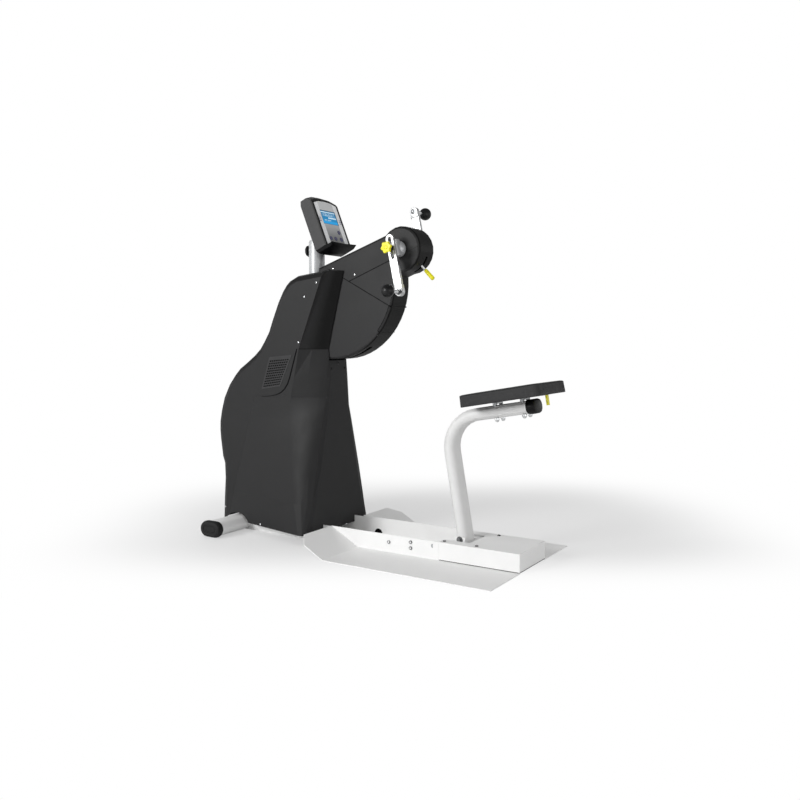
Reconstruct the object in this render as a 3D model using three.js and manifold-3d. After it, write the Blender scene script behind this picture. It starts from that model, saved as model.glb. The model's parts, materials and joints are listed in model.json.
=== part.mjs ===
// Arm ergometer: a floor frame with wheel plates and a removable seat, a housed column,
// and a tilting crank arm with a console above it. Millimetres, +Z up, seat end towards +X.
// Every place is measured from the seat end of the beam, on the floor, on the middle plane,
// and the whole is moved at the end so that its base is centred on the origin.
import * as THREE from 'three';
import { mergeVertices } from 'three/addons/utils/BufferGeometryUtils.js';
import Module from 'manifold-3d';

const wasm = await Module();
wasm.setup();

// Clearances
const seatGap = 0.3;
const runGap = 4;
const overrun = 40;
const bite = 1;

// Base
const sheet = 3;
const plateHalf = 380;
const beamHalf = 126;
const beamHeight = 79;
const beamLength = 1440;
const foldSetback = 764;
const flangeRun = 143;
const flangeRise = 77;
const coverLength = 360;
const coverSkirtGap = 4;
const notchDepth = 115;
const notchHalf = 72;
const boltHead = 13;

// Rear stabiliser
const stabilizerSetback = 1440;
const stabilizerHalf = 345;
const stabilizerWidth = 110;
const stabilizerHeight = 64;
const stabilizerCap = 38;
const stabilizerCapRim = 5;
const archAhead = 37;
const archAbove = 14.3;

// Column housing
const columnSetback = 963;
const columnHeight = 1205;
const columnDepth = 595;
const columnHalf = 145;
const shroudHalf = 248;
const shroudFloorGap = 46;
const housingWall = 3.5;
const housingRound = 28;
const slotHalf = 66;
const slotClear = 2;
const slotBehind = 90;

// Tilting arm
const pivotAhead = 17;
const pivotSetback = columnSetback - pivotAhead;
const pivotBelowTop = 60;
const pivotHeight = columnHeight - pivotBelowTop;
const armLength = 382;
const armRise = 20.86;
const tiltDown = 30;
const tiltUp = 12;
const armHalf = 62;
const coverWall = 3;
const coverRound = 10;
const sectorTrail = 133;
const headRadius = 97;
const sectorIntoHead = 45;
const sectorRadius = armLength - headRadius + sectorIntoHead;
const armTop = 98;
const armTopAtHead = 85;
const chinDepth = 92;
const cheekThick = 9;
const shaftRadius = 12;
const bearingRadius = 26;

// Uprights, brake and belts
const uprightThick = 12;
const uprightDeep = 70;
const uprightBehind = 67;
const bossWall = 8;
const shelfBelow = 35;
const tieDeep = 35;
const footThick = 10;
const footTail = 40;
const saddleBehind = 45;
const saddleFloor = 8;
const saddleRise = 35;
const saddleCut = 4;
const shoulderRise = 80;
const rotorBehind = 337;
const rotorSetback = columnSetback + rotorBehind;
const rotorHeight = 480;
const rotorRadius = 140;
const rotorThick = 14;
const rotorY = 30;
const brakeHalf = 60;
const brakeLap = 32;
const brakeUnder = 22;
const brakeLedge = 18;
const brakeInset = 10;
const brakeFloor = 12;
const discGap = 3;
const largeWheel = 50;
const smallWheel = 28;
const rotorWheel = 25;
const crankWheel = 68;
const wheelWidth = 18;
const rotorBeltAside = 30;
const rotorBeltY = -rotorBeltAside;
const crankBeltY = 18;
const beltThick = 3;

// Cranks
const crankRadius = 184;
const axleShort = 14;
const crankLean = 12;
const crankPlane = 130;
const barThick = 16;
const barWidth = 37;
const barTail = 39;
const slotReach = 46;
const studRadius = 6.5;
const hubRadius = 34;
const gripRadius = 27;
const gripPlane = 212;
const spindleRadius = 8;
const starRadius = 23;
const starDepth = 13;
const starNeck = 27;

// Console and mast
const mastBehindPivot = 129;
const mastSetback = pivotSetback + mastBehindPivot;
const mastRadius = 36;
const riserAbove = 7;
const mastAboveColumn = 140;
const mastTop = columnHeight + mastAboveColumn;
const mastBelowPivot = 49;
const mastFoot = pivotHeight - mastBelowPivot;
const hingeAboveMast = 55;
const hingeHeight = mastTop + hingeAboveMast;
const riserInMast = 165;
const riserFoot = mastTop - riserInMast;
const clampBelowTop = 39;
const clampHeight = mastTop - clampBelowTop;
const consoleWidth = 188;
const consoleHeight = 215;
const consoleDepth = 65;
const consoleTilt = 22.4;
const consoleAhead = 86;
const consoleAbove = 92.5;
const displayWidth = 108;
const displayHeight = 65;
const displayDrop = 43;
const displayThick = 16.5;
const keyRadius = 10;
const keyProud = 2;
const hingeLug = 13;
const hingePin = 6;

// Seat and post
const seatTilt = 10.2;
const bendSetback = 390;
const bendHeight = 574.5;
const postWide = 88;
const postDeep = 52;
const postWall = 3;
const postBend = 140;
const postDrop = 572;
const postReach = 378;
const seatLength = 346;
const seatWidth = 290;
const seatThick = 49;
const seatOverhang = 105;
const seatStart = postReach + seatOverhang - seatLength;
const seatTop = 86;
const seatCrown = 2;
const spacerSetback = 138;
const spacerStep = 120;
const spacerAt = postReach - spacerSetback;
const spacerHalf = 28;
const padRim = 14;
const boardEase = 2;
const boardThick = 10;
const pocketDeep = 26;
const railThick = 6;
const railHalf = 12;
const leverInset = 33;
const leverDrop = 2;
const leverHalf = 9.5;
const leverThick = 6.5;
const leverPin = 2.5;

const degree = Math.PI / 180;

// Finishes
const finish = (color, roughness, metalness) => (
  new THREE.MeshStandardMaterial({ color, roughness, metalness }));
const whitePowder = finish(0xf0f0ee, 0.45, 0.1);
const greyHousing = finish(0x4c4d4f, 0.5, 0);
const blackPlastic = finish(0x161617, 0.45, 0);
const glossBlack = finish(0x0c0c0d, 0.15, 0);
const brightAluminium = finish(0xd9dadb, 0.35, 0.9);
const silverPaint = finish(0xb8babc, 0.4, 0.5);
const chrome = finish(0xe2e3e4, 0.12, 1);
const steel = finish(0x8b8e92, 0.4, 0.9);
const yellowPlastic = finish(0xe8dc00, 0.4, 0);
const darkPad = finish(0x3a3a3b, 0.7, 0);
const paleFace = finish(0xd4d5d6, 0.45, 0);
const blueScreen = finish(0x3a93d8, 0.25, 0);
const keyViolet = finish(0x5a5b72, 0.5, 0);
const rubber = finish(0x1b1b1c, 0.8, 0);
const copper = finish(0x9a5b34, 0.4, 0.8);
const board = finish(0x8a6a42, 0.7, 0);

// Turns a mesh's triangles round if they point inwards
function outward(geometry) {
  const p = geometry.attributes.position;
  const index = geometry.index ? geometry.index.array : null;
  const count = index ? index.length : p.count;
  const corner = (i) => new THREE.Vector3().fromBufferAttribute(p, index ? index[i] : i);
  let volume = 0;
  for (let i = 0; i < count; i += 3) {
    volume += corner(i).dot(corner(i + 1).cross(corner(i + 2)));
  }
  if (volume < 0) {
    const flipped = [];
    for (let i = 0; i < count; i += 3) {
      const [a, b, c] = index ? [index[i], index[i + 1], index[i + 2]] : [i, i + 1, i + 2];
      flipped.push(a, c, b);
    }
    geometry.setIndex(flipped);
  }
  return geometry;
}

function welded(geometry) {
  const bare = geometry.clone();
  bare.deleteAttribute('normal');
  bare.deleteAttribute('uv');
  return outward(mergeVertices(bare));
}

function toSolid(geometry) {
  const mesh = welded(geometry);
  return new wasm.Manifold(new wasm.Mesh({
    numProp: 3,
    vertProperties: new Float32Array(mesh.attributes.position.array),
    triVerts: new Uint32Array(mesh.index.array),
  }));
}

function fromSolid(solid) {
  const mesh = solid.getMesh();
  const geometry = new THREE.BufferGeometry();
  geometry.setAttribute('position', new THREE.BufferAttribute(new Float32Array(mesh.vertProperties), 3));
  geometry.setIndex(new THREE.BufferAttribute(new Uint32Array(mesh.triVerts), 1));
  return geometry;
}

const join = (...parts) => fromSolid(parts.map(toSolid).reduce((a, b) => a.add(b)));
const cut = (first, ...tools) => fromSolid(tools.map(toSolid).reduce((a, b) => a.subtract(b), toSolid(first)));
const common = (...parts) => fromSolid(parts.map(toSolid).reduce((a, b) => a.intersect(b)));

const box = (x0, x1, y0, y1, z0, z1) => (
  new THREE.BoxGeometry(x1 - x0, y1 - y0, z1 - z0)
    .translate((x0 + x1) / 2, (y0 + y1) / 2, (z0 + z1) / 2));

const rodY = (radius, y0, y1, x = 0, z = 0, sides = 18) => (
  new THREE.CylinderGeometry(radius, radius, y1 - y0, sides).translate(x, (y0 + y1) / 2, z));

const rodX = (radius, x0, x1, y = 0, z = 0, sides = 18) => (
  new THREE.CylinderGeometry(radius, radius, x1 - x0, sides).rotateZ(90 * degree)
    .translate((x0 + x1) / 2, y, z));

const rodZ = (radius, z0, z1, x = 0, y = 0, sides = 18) => (
  new THREE.CylinderGeometry(radius, radius, z1 - z0, sides).rotateX(90 * degree)
    .translate(x, y, (z0 + z1) / 2));

const ringY = (outer, inner, y0, y1, x = 0, z = 0, sides = 18) => (
  cut(rodY(outer, y0, y1, x, z, sides), rodY(inner, y0 - overrun, y1 + overrun, x, z, sides)));

// A side-view outline of [x, z] points, extruded from y0 to y1
function plate(outline, y0, y1, bevel = {}) {
  const shape = outline instanceof THREE.Shape || outline[0] instanceof THREE.Shape ? outline
    : new THREE.Shape(outline.map(([x, z]) => new THREE.Vector2(x, z)));
  const thick = bevel.bevelThickness ?? 0;
  return new THREE.ExtrudeGeometry(shape, {
    depth: y1 - y0 - 2 * thick, bevelEnabled: false, steps: 1, curveSegments: 12, ...bevel,
  }).rotateX(90 * degree).translate(0, y1 - thick, 0);
}

// A body through rings of points, closed by a flat cap at each end
function loft(rings) {
  const count = rings[0].length;
  const faces = [];
  rings.slice(1).forEach((_, i) => {
    for (let j = 0; j < count; j += 1) {
      const a = i * count + j;
      const b = i * count + ((j + 1) % count);
      faces.push(a, b, b + count, a, b + count, a + count);
    }
  });
  const cap = (ring, start, sign) => {
    const normal = new THREE.Vector3();
    ring.forEach((p, j) => normal.add(p.clone().cross(ring[(j + 1) % count])));
    normal.normalize();
    const across = ring[1].clone().sub(ring[0]).projectOnPlane(normal).normalize();
    const up = normal.clone().cross(across);
    const flat = ring.map((p) => new THREE.Vector2(p.dot(across), p.dot(up)));
    THREE.ShapeUtils.triangulateShape(flat, []).forEach(([a, b, c]) => {
      const turn = (flat[b].x - flat[a].x) * (flat[c].y - flat[a].y)
        - (flat[b].y - flat[a].y) * (flat[c].x - flat[a].x);
      faces.push(...(turn * sign > 0 ? [a, b, c] : [a, c, b]).map((k) => k + start));
    });
  };
  cap(rings[0], 0, -1);
  cap(rings.at(-1), (rings.length - 1) * count, 1);
  const geometry = new THREE.BufferGeometry();
  geometry.setAttribute('position', new THREE.Float32BufferAttribute(
    rings.flat().flatMap((p) => [p.x, p.y, p.z]), 3));
  geometry.setIndex(faces);
  return outward(geometry);
}

// Moves each side of a closed outline inwards by a distance, or outwards by a negative one
function inset(points, distance) {
  const area = points.reduce((sum, [x, y], i) => {
    const [u, v] = points[(i + 1) % points.length];
    return sum + x * v - u * y;
  }, 0);
  const side = Math.sign(area) * distance;
  return points.map(([x, y], i) => {
    const [px, py] = points[(i + points.length - 1) % points.length];
    const [nx, ny] = points[(i + 1) % points.length];
    const a = new THREE.Vector2(x - px, y - py).normalize();
    const b = new THREE.Vector2(nx - x, ny - y).normalize();
    const bend = 1 + a.dot(b);
    return [x - side * (a.y + b.y) / bend, y + side * (a.x + b.x) / bend];
  });
}

const arc = (x, z, radius, from, to, steps) => Array.from({ length: steps + 1 }, (_, i) => {
  const turn = (from + (to - from) * i / steps) * degree;
  return [x + radius * Math.cos(turn), z + radius * Math.sin(turn)];
});

// The band of a belt round two wheels given as [x, z, radius]
function beltBand([x0, z0, r0], [x1, z1, r1], thick, y0, y1) {
  const span = Math.hypot(x1 - x0, z1 - z0);
  const heading = Math.atan2(z1 - z0, x1 - x0) / degree;
  const lead = Math.acos((r0 - r1) / span) / degree;
  const steps = 9;
  const ease = 1 / Math.cos(100 * degree / steps);
  const band = (grow) => [
    ...arc(x1, z1, (r1 + seatGap) * ease + grow, heading - lead, heading + lead, steps),
    ...arc(x0, z0, (r0 + seatGap) * ease + grow, heading + lead, heading + 360 - lead, steps),
  ];
  const shape = new THREE.Shape(band(thick).map(([x, z]) => new THREE.Vector2(x, z)));
  shape.holes.push(new THREE.Path(band(0).map(([x, z]) => new THREE.Vector2(x, z))));
  return plate(shape, y0, y1);
}

const machine = new THREE.Group();

function add(parent, name, geometry, material) {
  const mesh = new THREE.Mesh(geometry, material);
  mesh.name = name;
  parent.add(mesh);
}

// Floor frame

function stabilizerOutline(grow) {
  const radius = stabilizerHeight / 2 + grow;
  const half = (stabilizerWidth - stabilizerHeight) / 2;
  const z = stabilizerHeight / 2 + stabilizerCapRim;
  return [
    ...arc(-stabilizerSetback + half, z, radius, -90, 90, 8),
    ...arc(-stabilizerSetback - half, z, radius, 90, 270, 8),
  ];
}

function baseBeam() {
  const outer = beamHalf - sheet - seatGap;
  const inner = outer - sheet;
  const top = beamHeight - sheet - seatGap;
  return cut(
    box(-beamLength, -sheet - seatGap, -outer, outer, 0, top),
    box(-beamLength - overrun, overrun, -inner, inner, sheet, top + overrun),
    plate(stabilizerOutline(seatGap), -beamHalf, beamHalf));
}

const boltDeep = 4;
const boltSides = 10;

function wallBolts(side) {
  const wallAtShares = [[0.665, 0.59], [0.545, 0.77], [0.545, 0.45]];
  const y = side * beamHalf;
  return wallAtShares.map(([along, up]) => (
    rodY(boltHead / 2, Math.min(y - side * bite, y + side * boltDeep), Math.max(y - side * bite, y + side * boltDeep),
      -along * (foldSetback + flangeRun), up * beamHeight, boltSides)));
}

function footPlate(side) {
  const chamferFrom = 0.667;
  const chamferShare = 0.77;
  const wallOut = side * beamHalf;
  const wallIn = side * (beamHalf - sheet);
  const slope = Math.hypot(flangeRun, flangeRise);
  const width = plateHalf - beamHalf;
  const span = (a, b) => [Math.min(a, b), Math.max(a, b)];
  const floor = box(-foldSetback, 0, ...span(wallOut, side * plateHalf), 0, sheet);
  const wall = plate([
    [-foldSetback, 0], [-foldSetback - flangeRun, flangeRise], [-foldSetback - flangeRun, beamHeight],
    [-coverLength - seatGap, beamHeight], [-coverLength - seatGap, 0],
  ], ...span(wallIn, wallOut));
  const under = box(-coverLength - overrun, 0, ...span(wallOut - side * sheet, wallOut + side * sheet), 0, sheet);
  const flange = new THREE.ExtrudeGeometry(new THREE.Shape([
    [0, 0], [0, width], [slope * chamferFrom, width], [slope, width * chamferShare], [slope, 0],
  ].map(([s, q]) => new THREE.Vector2(-s, side * q))), { depth: sheet, bevelEnabled: false })
    .rotateY(Math.atan2(flangeRise, flangeRun)).translate(-foldSetback, wallOut, 0);
  return join(floor, wall, flange, under, ...wallBolts(side));
}

function beamCover() {
  const inside = beamHalf - sheet;
  const boltAtShares = [[0.96, 0.82], [0.55, 0.82]];
  const bolts = [-1, 1].flatMap((side) => boltAtShares.map(([along, across]) => (
    rodZ(boltHead / 2, beamHeight - bite, beamHeight + boltDeep,
      -along * coverLength, side * across * beamHalf, boltSides))));
  return join(...bolts, cut(
    box(-coverLength, 0, -beamHalf, beamHalf, coverSkirtGap, beamHeight),
    box(-coverLength - overrun, -sheet, -inside, inside, 0, beamHeight - sheet),
    box(-coverLength - overrun, -coverLength + notchDepth, -notchHalf, notchHalf,
      beamHeight - sheet - overrun, beamHeight + overrun)));
}

function stabilizerTube() {
  const shape = new THREE.Shape(stabilizerOutline(0).map(([x, z]) => new THREE.Vector2(x, z)));
  shape.holes.push(new THREE.Path(stabilizerOutline(-sheet).map(([x, z]) => new THREE.Vector2(x, z))));
  const end = stabilizerHalf - stabilizerCap + sheet;
  return plate(shape, -end, end);
}

function stabilizerEnd(side) {
  const capRound = 12;
  const near = side * (stabilizerHalf - stabilizerCap);
  const far = side * stabilizerHalf;
  const body = plate(stabilizerOutline(stabilizerCapRim), Math.min(near, far), Math.max(near, far), {
    bevelEnabled: true, bevelThickness: capRound, bevelSize: capRound, bevelOffset: -capRound, bevelSegments: 2,
  });
  const socket = near + side * (sheet + seatGap);
  return cut(body, plate(stabilizerOutline(seatGap),
    Math.min(near - side * overrun, socket), Math.max(near - side * overrun, socket)));
}

// Column housing: one outer skin, split into a left and a right half and a front shroud

const columnX = (share) => -columnSetback - share * columnDepth;

// Side view as shares of depth behind the front and of height
const sideOutlineShares = [
  [-0.156, 0.990], [-0.03, 0.988], [0.123, 0.979], [0.203, 0.974], [0.261, 0.961], [0.293, 0.947],
  [0.326, 0.926], [0.373, 0.886], [0.432, 0.822], [0.471, 0.775], [0.518, 0.739], [0.561, 0.710],
  [0.618, 0.685], [0.701, 0.656], [0.775, 0.632], [0.830, 0.605], [0.891, 0.568], [0.948, 0.517],
  [0.980, 0.466], [0.998, 0.423], [1.000, 0.388], [0.995, 0.357], [0.975, 0.285], [0.955, 0.259],
  [0.951, 0.199], [0.963, 0.120], [0.984, -0.08], [-0.156, -0.08],
];

// Plan sections: height share, then front depth, front flat half, corner pull half,
// edge depth and edge half, with halves as shares of the shroud's half width
const sectionShares = [
  [0.0373, -0.0134, 0.806, 0.992, 0.062, 1],
  [0.150, -0.0134, 0.685, 0.900, 0.125, 0.915],
  [0.254, -0.0134, 0.565, 0.806, 0.188, 0.827],
  [0.350, -0.0134, 0.465, 0.675, 0.235, 0.72],
  [0.4465, -0.0134, 0.363, 0.544, 0.277, 0.605],
  [0.498, -0.0134, 0.300, 0.450, 0.276, 0.5847],
  [0.6075, -0.0134, 0.250, 0.383, 0.225, 0.5847],
  [0.7145, -0.0084, 0.250, 0.252, 0.178, 0.5847],
  [1.080, -0.1905, 0.250, 0.252, -0.125, 0.5847],
];
const flareTopShare = 0.535;
const flareEdgeShares = [[0.0373, 0.921], [0.5278, 0.6286]];

function sideBody(wall) {
  const silhouetteGrow = 12;
  return plate(sideOutlineShares.map(([d, h]) => [columnX(d), h * columnHeight]),
    -columnHalf + wall, columnHalf - wall, {
      bevelEnabled: true, bevelThickness: housingRound, bevelSize: housingRound,
      bevelOffset: silhouetteGrow - housingRound - wall, bevelSegments: 2,
    });
}

function frontCorner([, front, flat, pull, edgeDepth, edge]) {
  const start = new THREE.Vector2(columnX(front), flat * shroudHalf);
  const bend = new THREE.Vector2(columnX(front), pull * shroudHalf);
  const end = new THREE.Vector2(columnX(edgeDepth), edge * shroudHalf);
  return new THREE.QuadraticBezierCurve(start, bend, end).getPoints(4).map((p) => [p.x, p.y]);
}

function planRing(half, z, wall) {
  const whole = [...half, ...half.map(([x, y]) => [x, -y]).reverse()];
  return inset(whole, wall).map(([x, y]) => new THREE.Vector3(x, y, z));
}

function frontBody(wall) {
  const aside = 40;
  const behind = columnX(1) - overrun * 2;
  return loft(sectionShares.map((row, i) => {
    const corner = frontCorner(row);
    const [x, y] = corner.at(-1);
    const z = i === 0 ? 0 : row[0] * columnHeight;
    return planRing([...corner, [x - aside, y + aside], [behind, y + aside]], z, wall);
  }));
}

function flareBody(wall, drop) {
  const [[lowAt, lowDepth], [highAt, highDepth]] = flareEdgeShares;
  const rows = sectionShares.filter((row) => row[0] < flareTopShare);
  const top = rows.at(-1).slice();
  top[0] = flareTopShare;
  const next = sectionShares[rows.length];
  const mix = (flareTopShare - rows.at(-1)[0]) / (next[0] - rows.at(-1)[0]);
  const between = rows.at(-1).map((v, i) => (i === 0 ? flareTopShare : v + (next[i] - v) * mix));
  return loft([...rows, between].map((row, i) => {
    const corner = frontCorner(row);
    const edge = lowDepth + (highDepth - lowDepth) * (row[0] - lowAt) / (highAt - lowAt);
    const z = row[0] * columnHeight - (i === 0 ? drop : 0);
    return planRing([...corner, [columnX(edge), columnHalf]], z, wall);
  }));
}

// The front shroud's part of the skin in side view
const shroudShares = [
  [-0.3, -0.05], [-0.3, 0.7145], [0.196, 0.7145], [0.222, 0.668], [0.262, 0.600], [0.288, 0.561],
  [0.325, 0.541], [0.37, 0.535], [0.618, 0.5325], [0.6286, 0.5278], [0.921, 0.0448], [0.975, -0.05],
];
const shroudOutline = shroudShares.map(([d, h]) => [columnX(d), h * columnHeight]);

const grilleShares = [[0.469, 0.683], [0.246, 0.691], [0.352, 0.578], [0.545, 0.566]];
const grilleOutline = grilleShares.map(([d, h]) => [columnX(d), h * columnHeight]);

function ventSlots() {
  const rows = 10;
  const margin = 0.09;
  const slotShare = 0.5;
  const [rearTop, frontTop, frontFoot, rearFoot] = grilleOutline;
  const mix = (a, b, t) => [a[0] + (b[0] - a[0]) * t, a[1] + (b[1] - a[1]) * t];
  const at = (s, t) => mix(mix(rearFoot, frontFoot, s), mix(rearTop, frontTop, s), t);
  return Array.from({ length: rows }, (_, i) => {
    const low = margin + (1 - 2 * margin) * (i + (1 - slotShare) / 2) / rows;
    const high = low + (1 - 2 * margin) * slotShare / rows;
    return new THREE.Shape([
      at(margin, low), at(1 - margin, low), at(1 - margin, high), at(margin, high),
    ].map(([x, z]) => new THREE.Vector2(x, z)));
  });
}

const pivotX = -pivotSetback;
const pivotZ = pivotHeight;

function columnSkin() {
  const outer = join(common(sideBody(0), frontBody(0)), flareBody(0, 0));
  const inner = join(common(sideBody(housingWall), frontBody(housingWall)), flareBody(housingWall, overrun));
  const wide = shroudHalf + overrun;
  const archFoot = stabilizerHeight / 3;
  const archRise = stabilizerHeight + stabilizerCapRim + archAbove - archFoot;
  const archHalf = stabilizerWidth / 2 + archAhead;
  const slotDrop = sectorRadius + slotClear;
  const slotBack = columnSetback + slotBehind;
  const slotRear = mastSetback - mastRadius - runGap;
  const slotTurn = Math.acos((slotBack - pivotSetback) / slotDrop) / degree;
  const slot = plate([
    [-slotRear, columnHeight + overrun], [-slotRear, pivotZ],
    ...arc(pivotX, pivotZ, slotDrop + runGap, -180 + slotTurn, -60, 12),
    [pivotX + slotDrop, columnHeight + overrun],
  ], -slotHalf, slotHalf);
  const arch = new THREE.CylinderGeometry(1, 1, 2 * wide, 20)
    .scale(archHalf, 1, archRise).translate(-stabilizerSetback, 0, archFoot);
  const beamSlots = [-1, 1].map((side) => {
    const y = side * (beamHalf - sheet * 1.5 - seatGap);
    const half = sheet / 2 + seatGap;
    return box(-columnSetback - overrun, -columnSetback + overrun, y - half, y + half,
      0, beamHeight - sheet);
  });
  return cut(outer, inner, slot, arch, ...beamSlots,
    box(columnX(1.2), columnX(-0.3), -wide, wide, -4 * overrun, shroudFloorGap),
    rodZ(mastRadius + seatGap, mastFoot, columnHeight + overrun, -mastSetback, 0, 28),
    plate(ventSlots(), -wide, wide));
}

const skin = columnSkin();

const screwRadius = 4.5;
const screwDeep = 2.5;
const screwSides = 8;

function sideScrews(side) {
  const atShares = [[0.005, 0.955], [0.119, 0.905], [0.178, 0.7385]];
  const y = side * columnHalf;
  return atShares.map(([d, h]) => (
    rodY(screwRadius, Math.min(y - side * bite, y + side * screwDeep), Math.max(y - side * bite, y + side * screwDeep),
      columnX(d), h * columnHeight, screwSides)));
}

function frontScrews() {
  const acrossShares = [0, -0.2, 0.2];
  const belowSlot = 12.5;
  const sideDrop = 23.5;
  const front = columnX(-0.0134);
  const top = pivotHeight - sectorRadius - slotClear - runGap - belowSlot;
  return acrossShares.map((across) => (
    rodX(screwRadius, front - housingWall, front + screwDeep, across * shroudHalf,
      across ? top - sideDrop : top, screwSides)));
}

function housingHalf(side) {
  const wide = shroudHalf + overrun;
  const y0 = side < 0 ? -wide : seatGap / 2;
  const y1 = side < 0 ? -seatGap / 2 : wide;
  const rest = cut(skin, plate(inset(shroudOutline, -seatGap), -wide, wide));
  return join(common(rest, box(columnX(1.2), columnX(-0.5), y0, y1, -overrun, columnHeight + overrun * 2)),
    ...sideScrews(side));
}

function frontShroud() {
  const wide = shroudHalf + overrun;
  return join(common(skin, plate(shroudOutline, -wide, wide)), ...frontScrews());
}

// Inner column: two uprights, their cross pieces, and a saddle that holds the mast

const uprightIn = slotHalf + bite;
const rotorX = -rotorSetback;
const rotorZ = rotorHeight;
const brakeTop = rotorHeight - rotorRadius + brakeLap;
const brakeFoot = rotorHeight - rotorRadius - brakeUnder;
const brakeFront = brakeHalf - rotorSetback;
const brakeRear = -rotorSetback - brakeHalf;
const shelfZ = pivotHeight - sectorRadius - shelfBelow;

const uprightFront = -columnSetback - uprightBehind;

function columnFrame() {
  const boss = bearingRadius + bossWall;
  const rearX = uprightFront - uprightDeep;
  const footZ = sheet + seatGap;
  const inside = uprightIn + bite;
  const saddleRear = -mastSetback - saddleBehind;
  const outline = [
    [uprightFront, footZ], [uprightFront, shelfZ],
    ...arc(pivotX, pivotZ, boss, -20, 100, 6),
    [saddleRear, mastFoot + saddleRise], [saddleRear, mastFoot], [rearX, shelfZ],
    [rearX, rotorZ + shoulderRise], [rotorX, rotorZ + boss],
    ...arc(rotorX, rotorZ, boss, 120, 180, 3),
    [brakeRear, brakeTop], [brakeRear, brakeFoot - brakeLedge], [rearX, brakeFoot - brakeLedge], [rearX, footZ],
  ];
  const sides = [-1, 1].map((side) => {
    const y0 = side < 0 ? -uprightIn - uprightThick : uprightIn;
    const y1 = y0 + uprightThick;
    return cut(plate(outline, y0, y1),
      rodY(bearingRadius + seatGap, y0 - overrun, y1 + overrun, pivotX, pivotZ),
      rodY(bearingRadius + seatGap, y0 - overrun, y1 + overrun, rotorX, rotorZ));
  });
  const floorHalf = beamHalf - 3 * sheet;
  return cut(join(...sides,
    box(uprightFront - tieDeep, uprightFront + tieDeep, -inside, inside, shelfZ - tieDeep, shelfZ),
    box(rearX, uprightFront, -inside, inside, brakeTop, brakeTop + tieDeep),
    box(rearX - footTail, uprightFront, -floorHalf, floorHalf, footZ, footZ + footThick),
    box(saddleRear, -mastSetback + mastRadius - saddleCut, -inside, inside,
      mastFoot - saddleFloor, mastFoot + saddleRise)),
  rodZ(mastRadius + seatGap, mastFoot, mastFoot + overrun * 2, -mastSetback, 0, 28));
}

function rimBrake() {
  const shoeDeep = 42;
  const shoeAside = 12;
  const rear = uprightFront - shoeAside;
  const rimSides = 72;
  const rim = rodY((sectorRadius + seatGap) / Math.cos(180 / rimSides * degree),
    -2 * armHalf, 2 * armHalf, pivotX, pivotZ, rimSides);
  return cut(box(rear, rear + shoeDeep, rotorBeltY + wheelWidth + runGap * 1.5, armHalf - 4 * runGap,
    shelfZ + seatGap, pivotZ), rim);
}

const bearing = (y0, x, z) => (
  ringY(bearingRadius, shaftRadius + seatGap, y0, y0 + uprightThick, x, z));

function brakeUnit() {
  const slotSide = rotorThick / 2 + discGap;
  const half = uprightIn - seatGap;
  return cut(box(brakeRear + brakeInset, brakeFront, -half, half, brakeFoot, brakeTop - 3 * seatGap),
    box(brakeRear - overrun, brakeFront + overrun, rotorY - slotSide, rotorY + slotSide,
      brakeFoot + brakeFloor, brakeTop + overrun));
}

function brakeRotor() {
  const shaftEnd = uprightIn + uprightThick;
  const half = rotorThick / 2;
  return join(rodY(rotorRadius, rotorY - half, rotorY + half, rotorX, rotorZ, 32),
    rodY(shaftRadius + bossWall, rotorY - rotorThick, rotorY + rotorThick, rotorX, rotorZ),
    rodY(shaftRadius, -shaftEnd, shaftEnd, rotorX, rotorZ),
    rodY(rotorWheel, rotorBeltY, rotorBeltY + wheelWidth, rotorX, rotorZ, 20));
}

function pivotShaft() {
  const end = uprightIn + uprightThick;
  return join(rodY(shaftRadius, -end, end, 0, 0),
    rodY(largeWheel, rotorBeltY, rotorBeltY + wheelWidth, 0, 0, 24),
    rodY(smallWheel, crankBeltY, crankBeltY + wheelWidth, 0, 0, 20));
}

const lowerBelt = () => beltBand([pivotX, pivotZ, largeWheel], [rotorX, rotorZ, rotorWheel],
  beltThick, rotorBeltY + bite, rotorBeltY + wheelWidth - bite);

// Arm, drawn from its pivot with its length along x

const cheekOut = armHalf - coverWall - seatGap;
const cheekIn = cheekOut - cheekThick;
const leverY = 7;
const leverRing = 5;
const bossRadius = 30;

function armFrame() {
  const cheekWall = 10;
  const sleeveGap = 2;
  const end = bearingRadius + cheekWall;
  const outline = [...arc(0, 0, end, 90, 270, 10), ...arc(armLength, 0, end, -90, 90, 10)];
  const tieRadius = 12;
  const tieAtShares = [0.3, 0.62];
  const cheeks = [-1, 1].map((side) => {
    const y0 = side < 0 ? -cheekOut : cheekIn;
    const y1 = y0 + cheekThick;
    return cut(plate(outline, y0, y1),
      rodY(shaftRadius + seatGap, y0 - overrun, y1 + overrun, 0, 0),
      rodY(bearingRadius + seatGap, y0 - overrun, y1 + overrun, armLength, 0));
  });
  const ties = tieAtShares.map((share) => rodY(tieRadius, -cheekOut + bite, cheekOut - bite, share * armLength, 0, 16));
  const sleeve = ringY(bossRadius, shaftRadius + sleeveGap, -cheekIn - bite, leverY + leverRing, armLength, 0, ringSides);
  return cut(join(...cheeks, ...ties, sleeve),
    rodY(bearingRadius + seatGap, -cheekOut - overrun, -cheekIn + seatGap, armLength, 0));
}

const crankBearing = (side) => (
  ringY(bearingRadius, shaftRadius + seatGap, side < 0 ? -cheekOut : cheekIn, side < 0 ? -cheekIn : cheekOut,
    armLength, 0));

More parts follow.
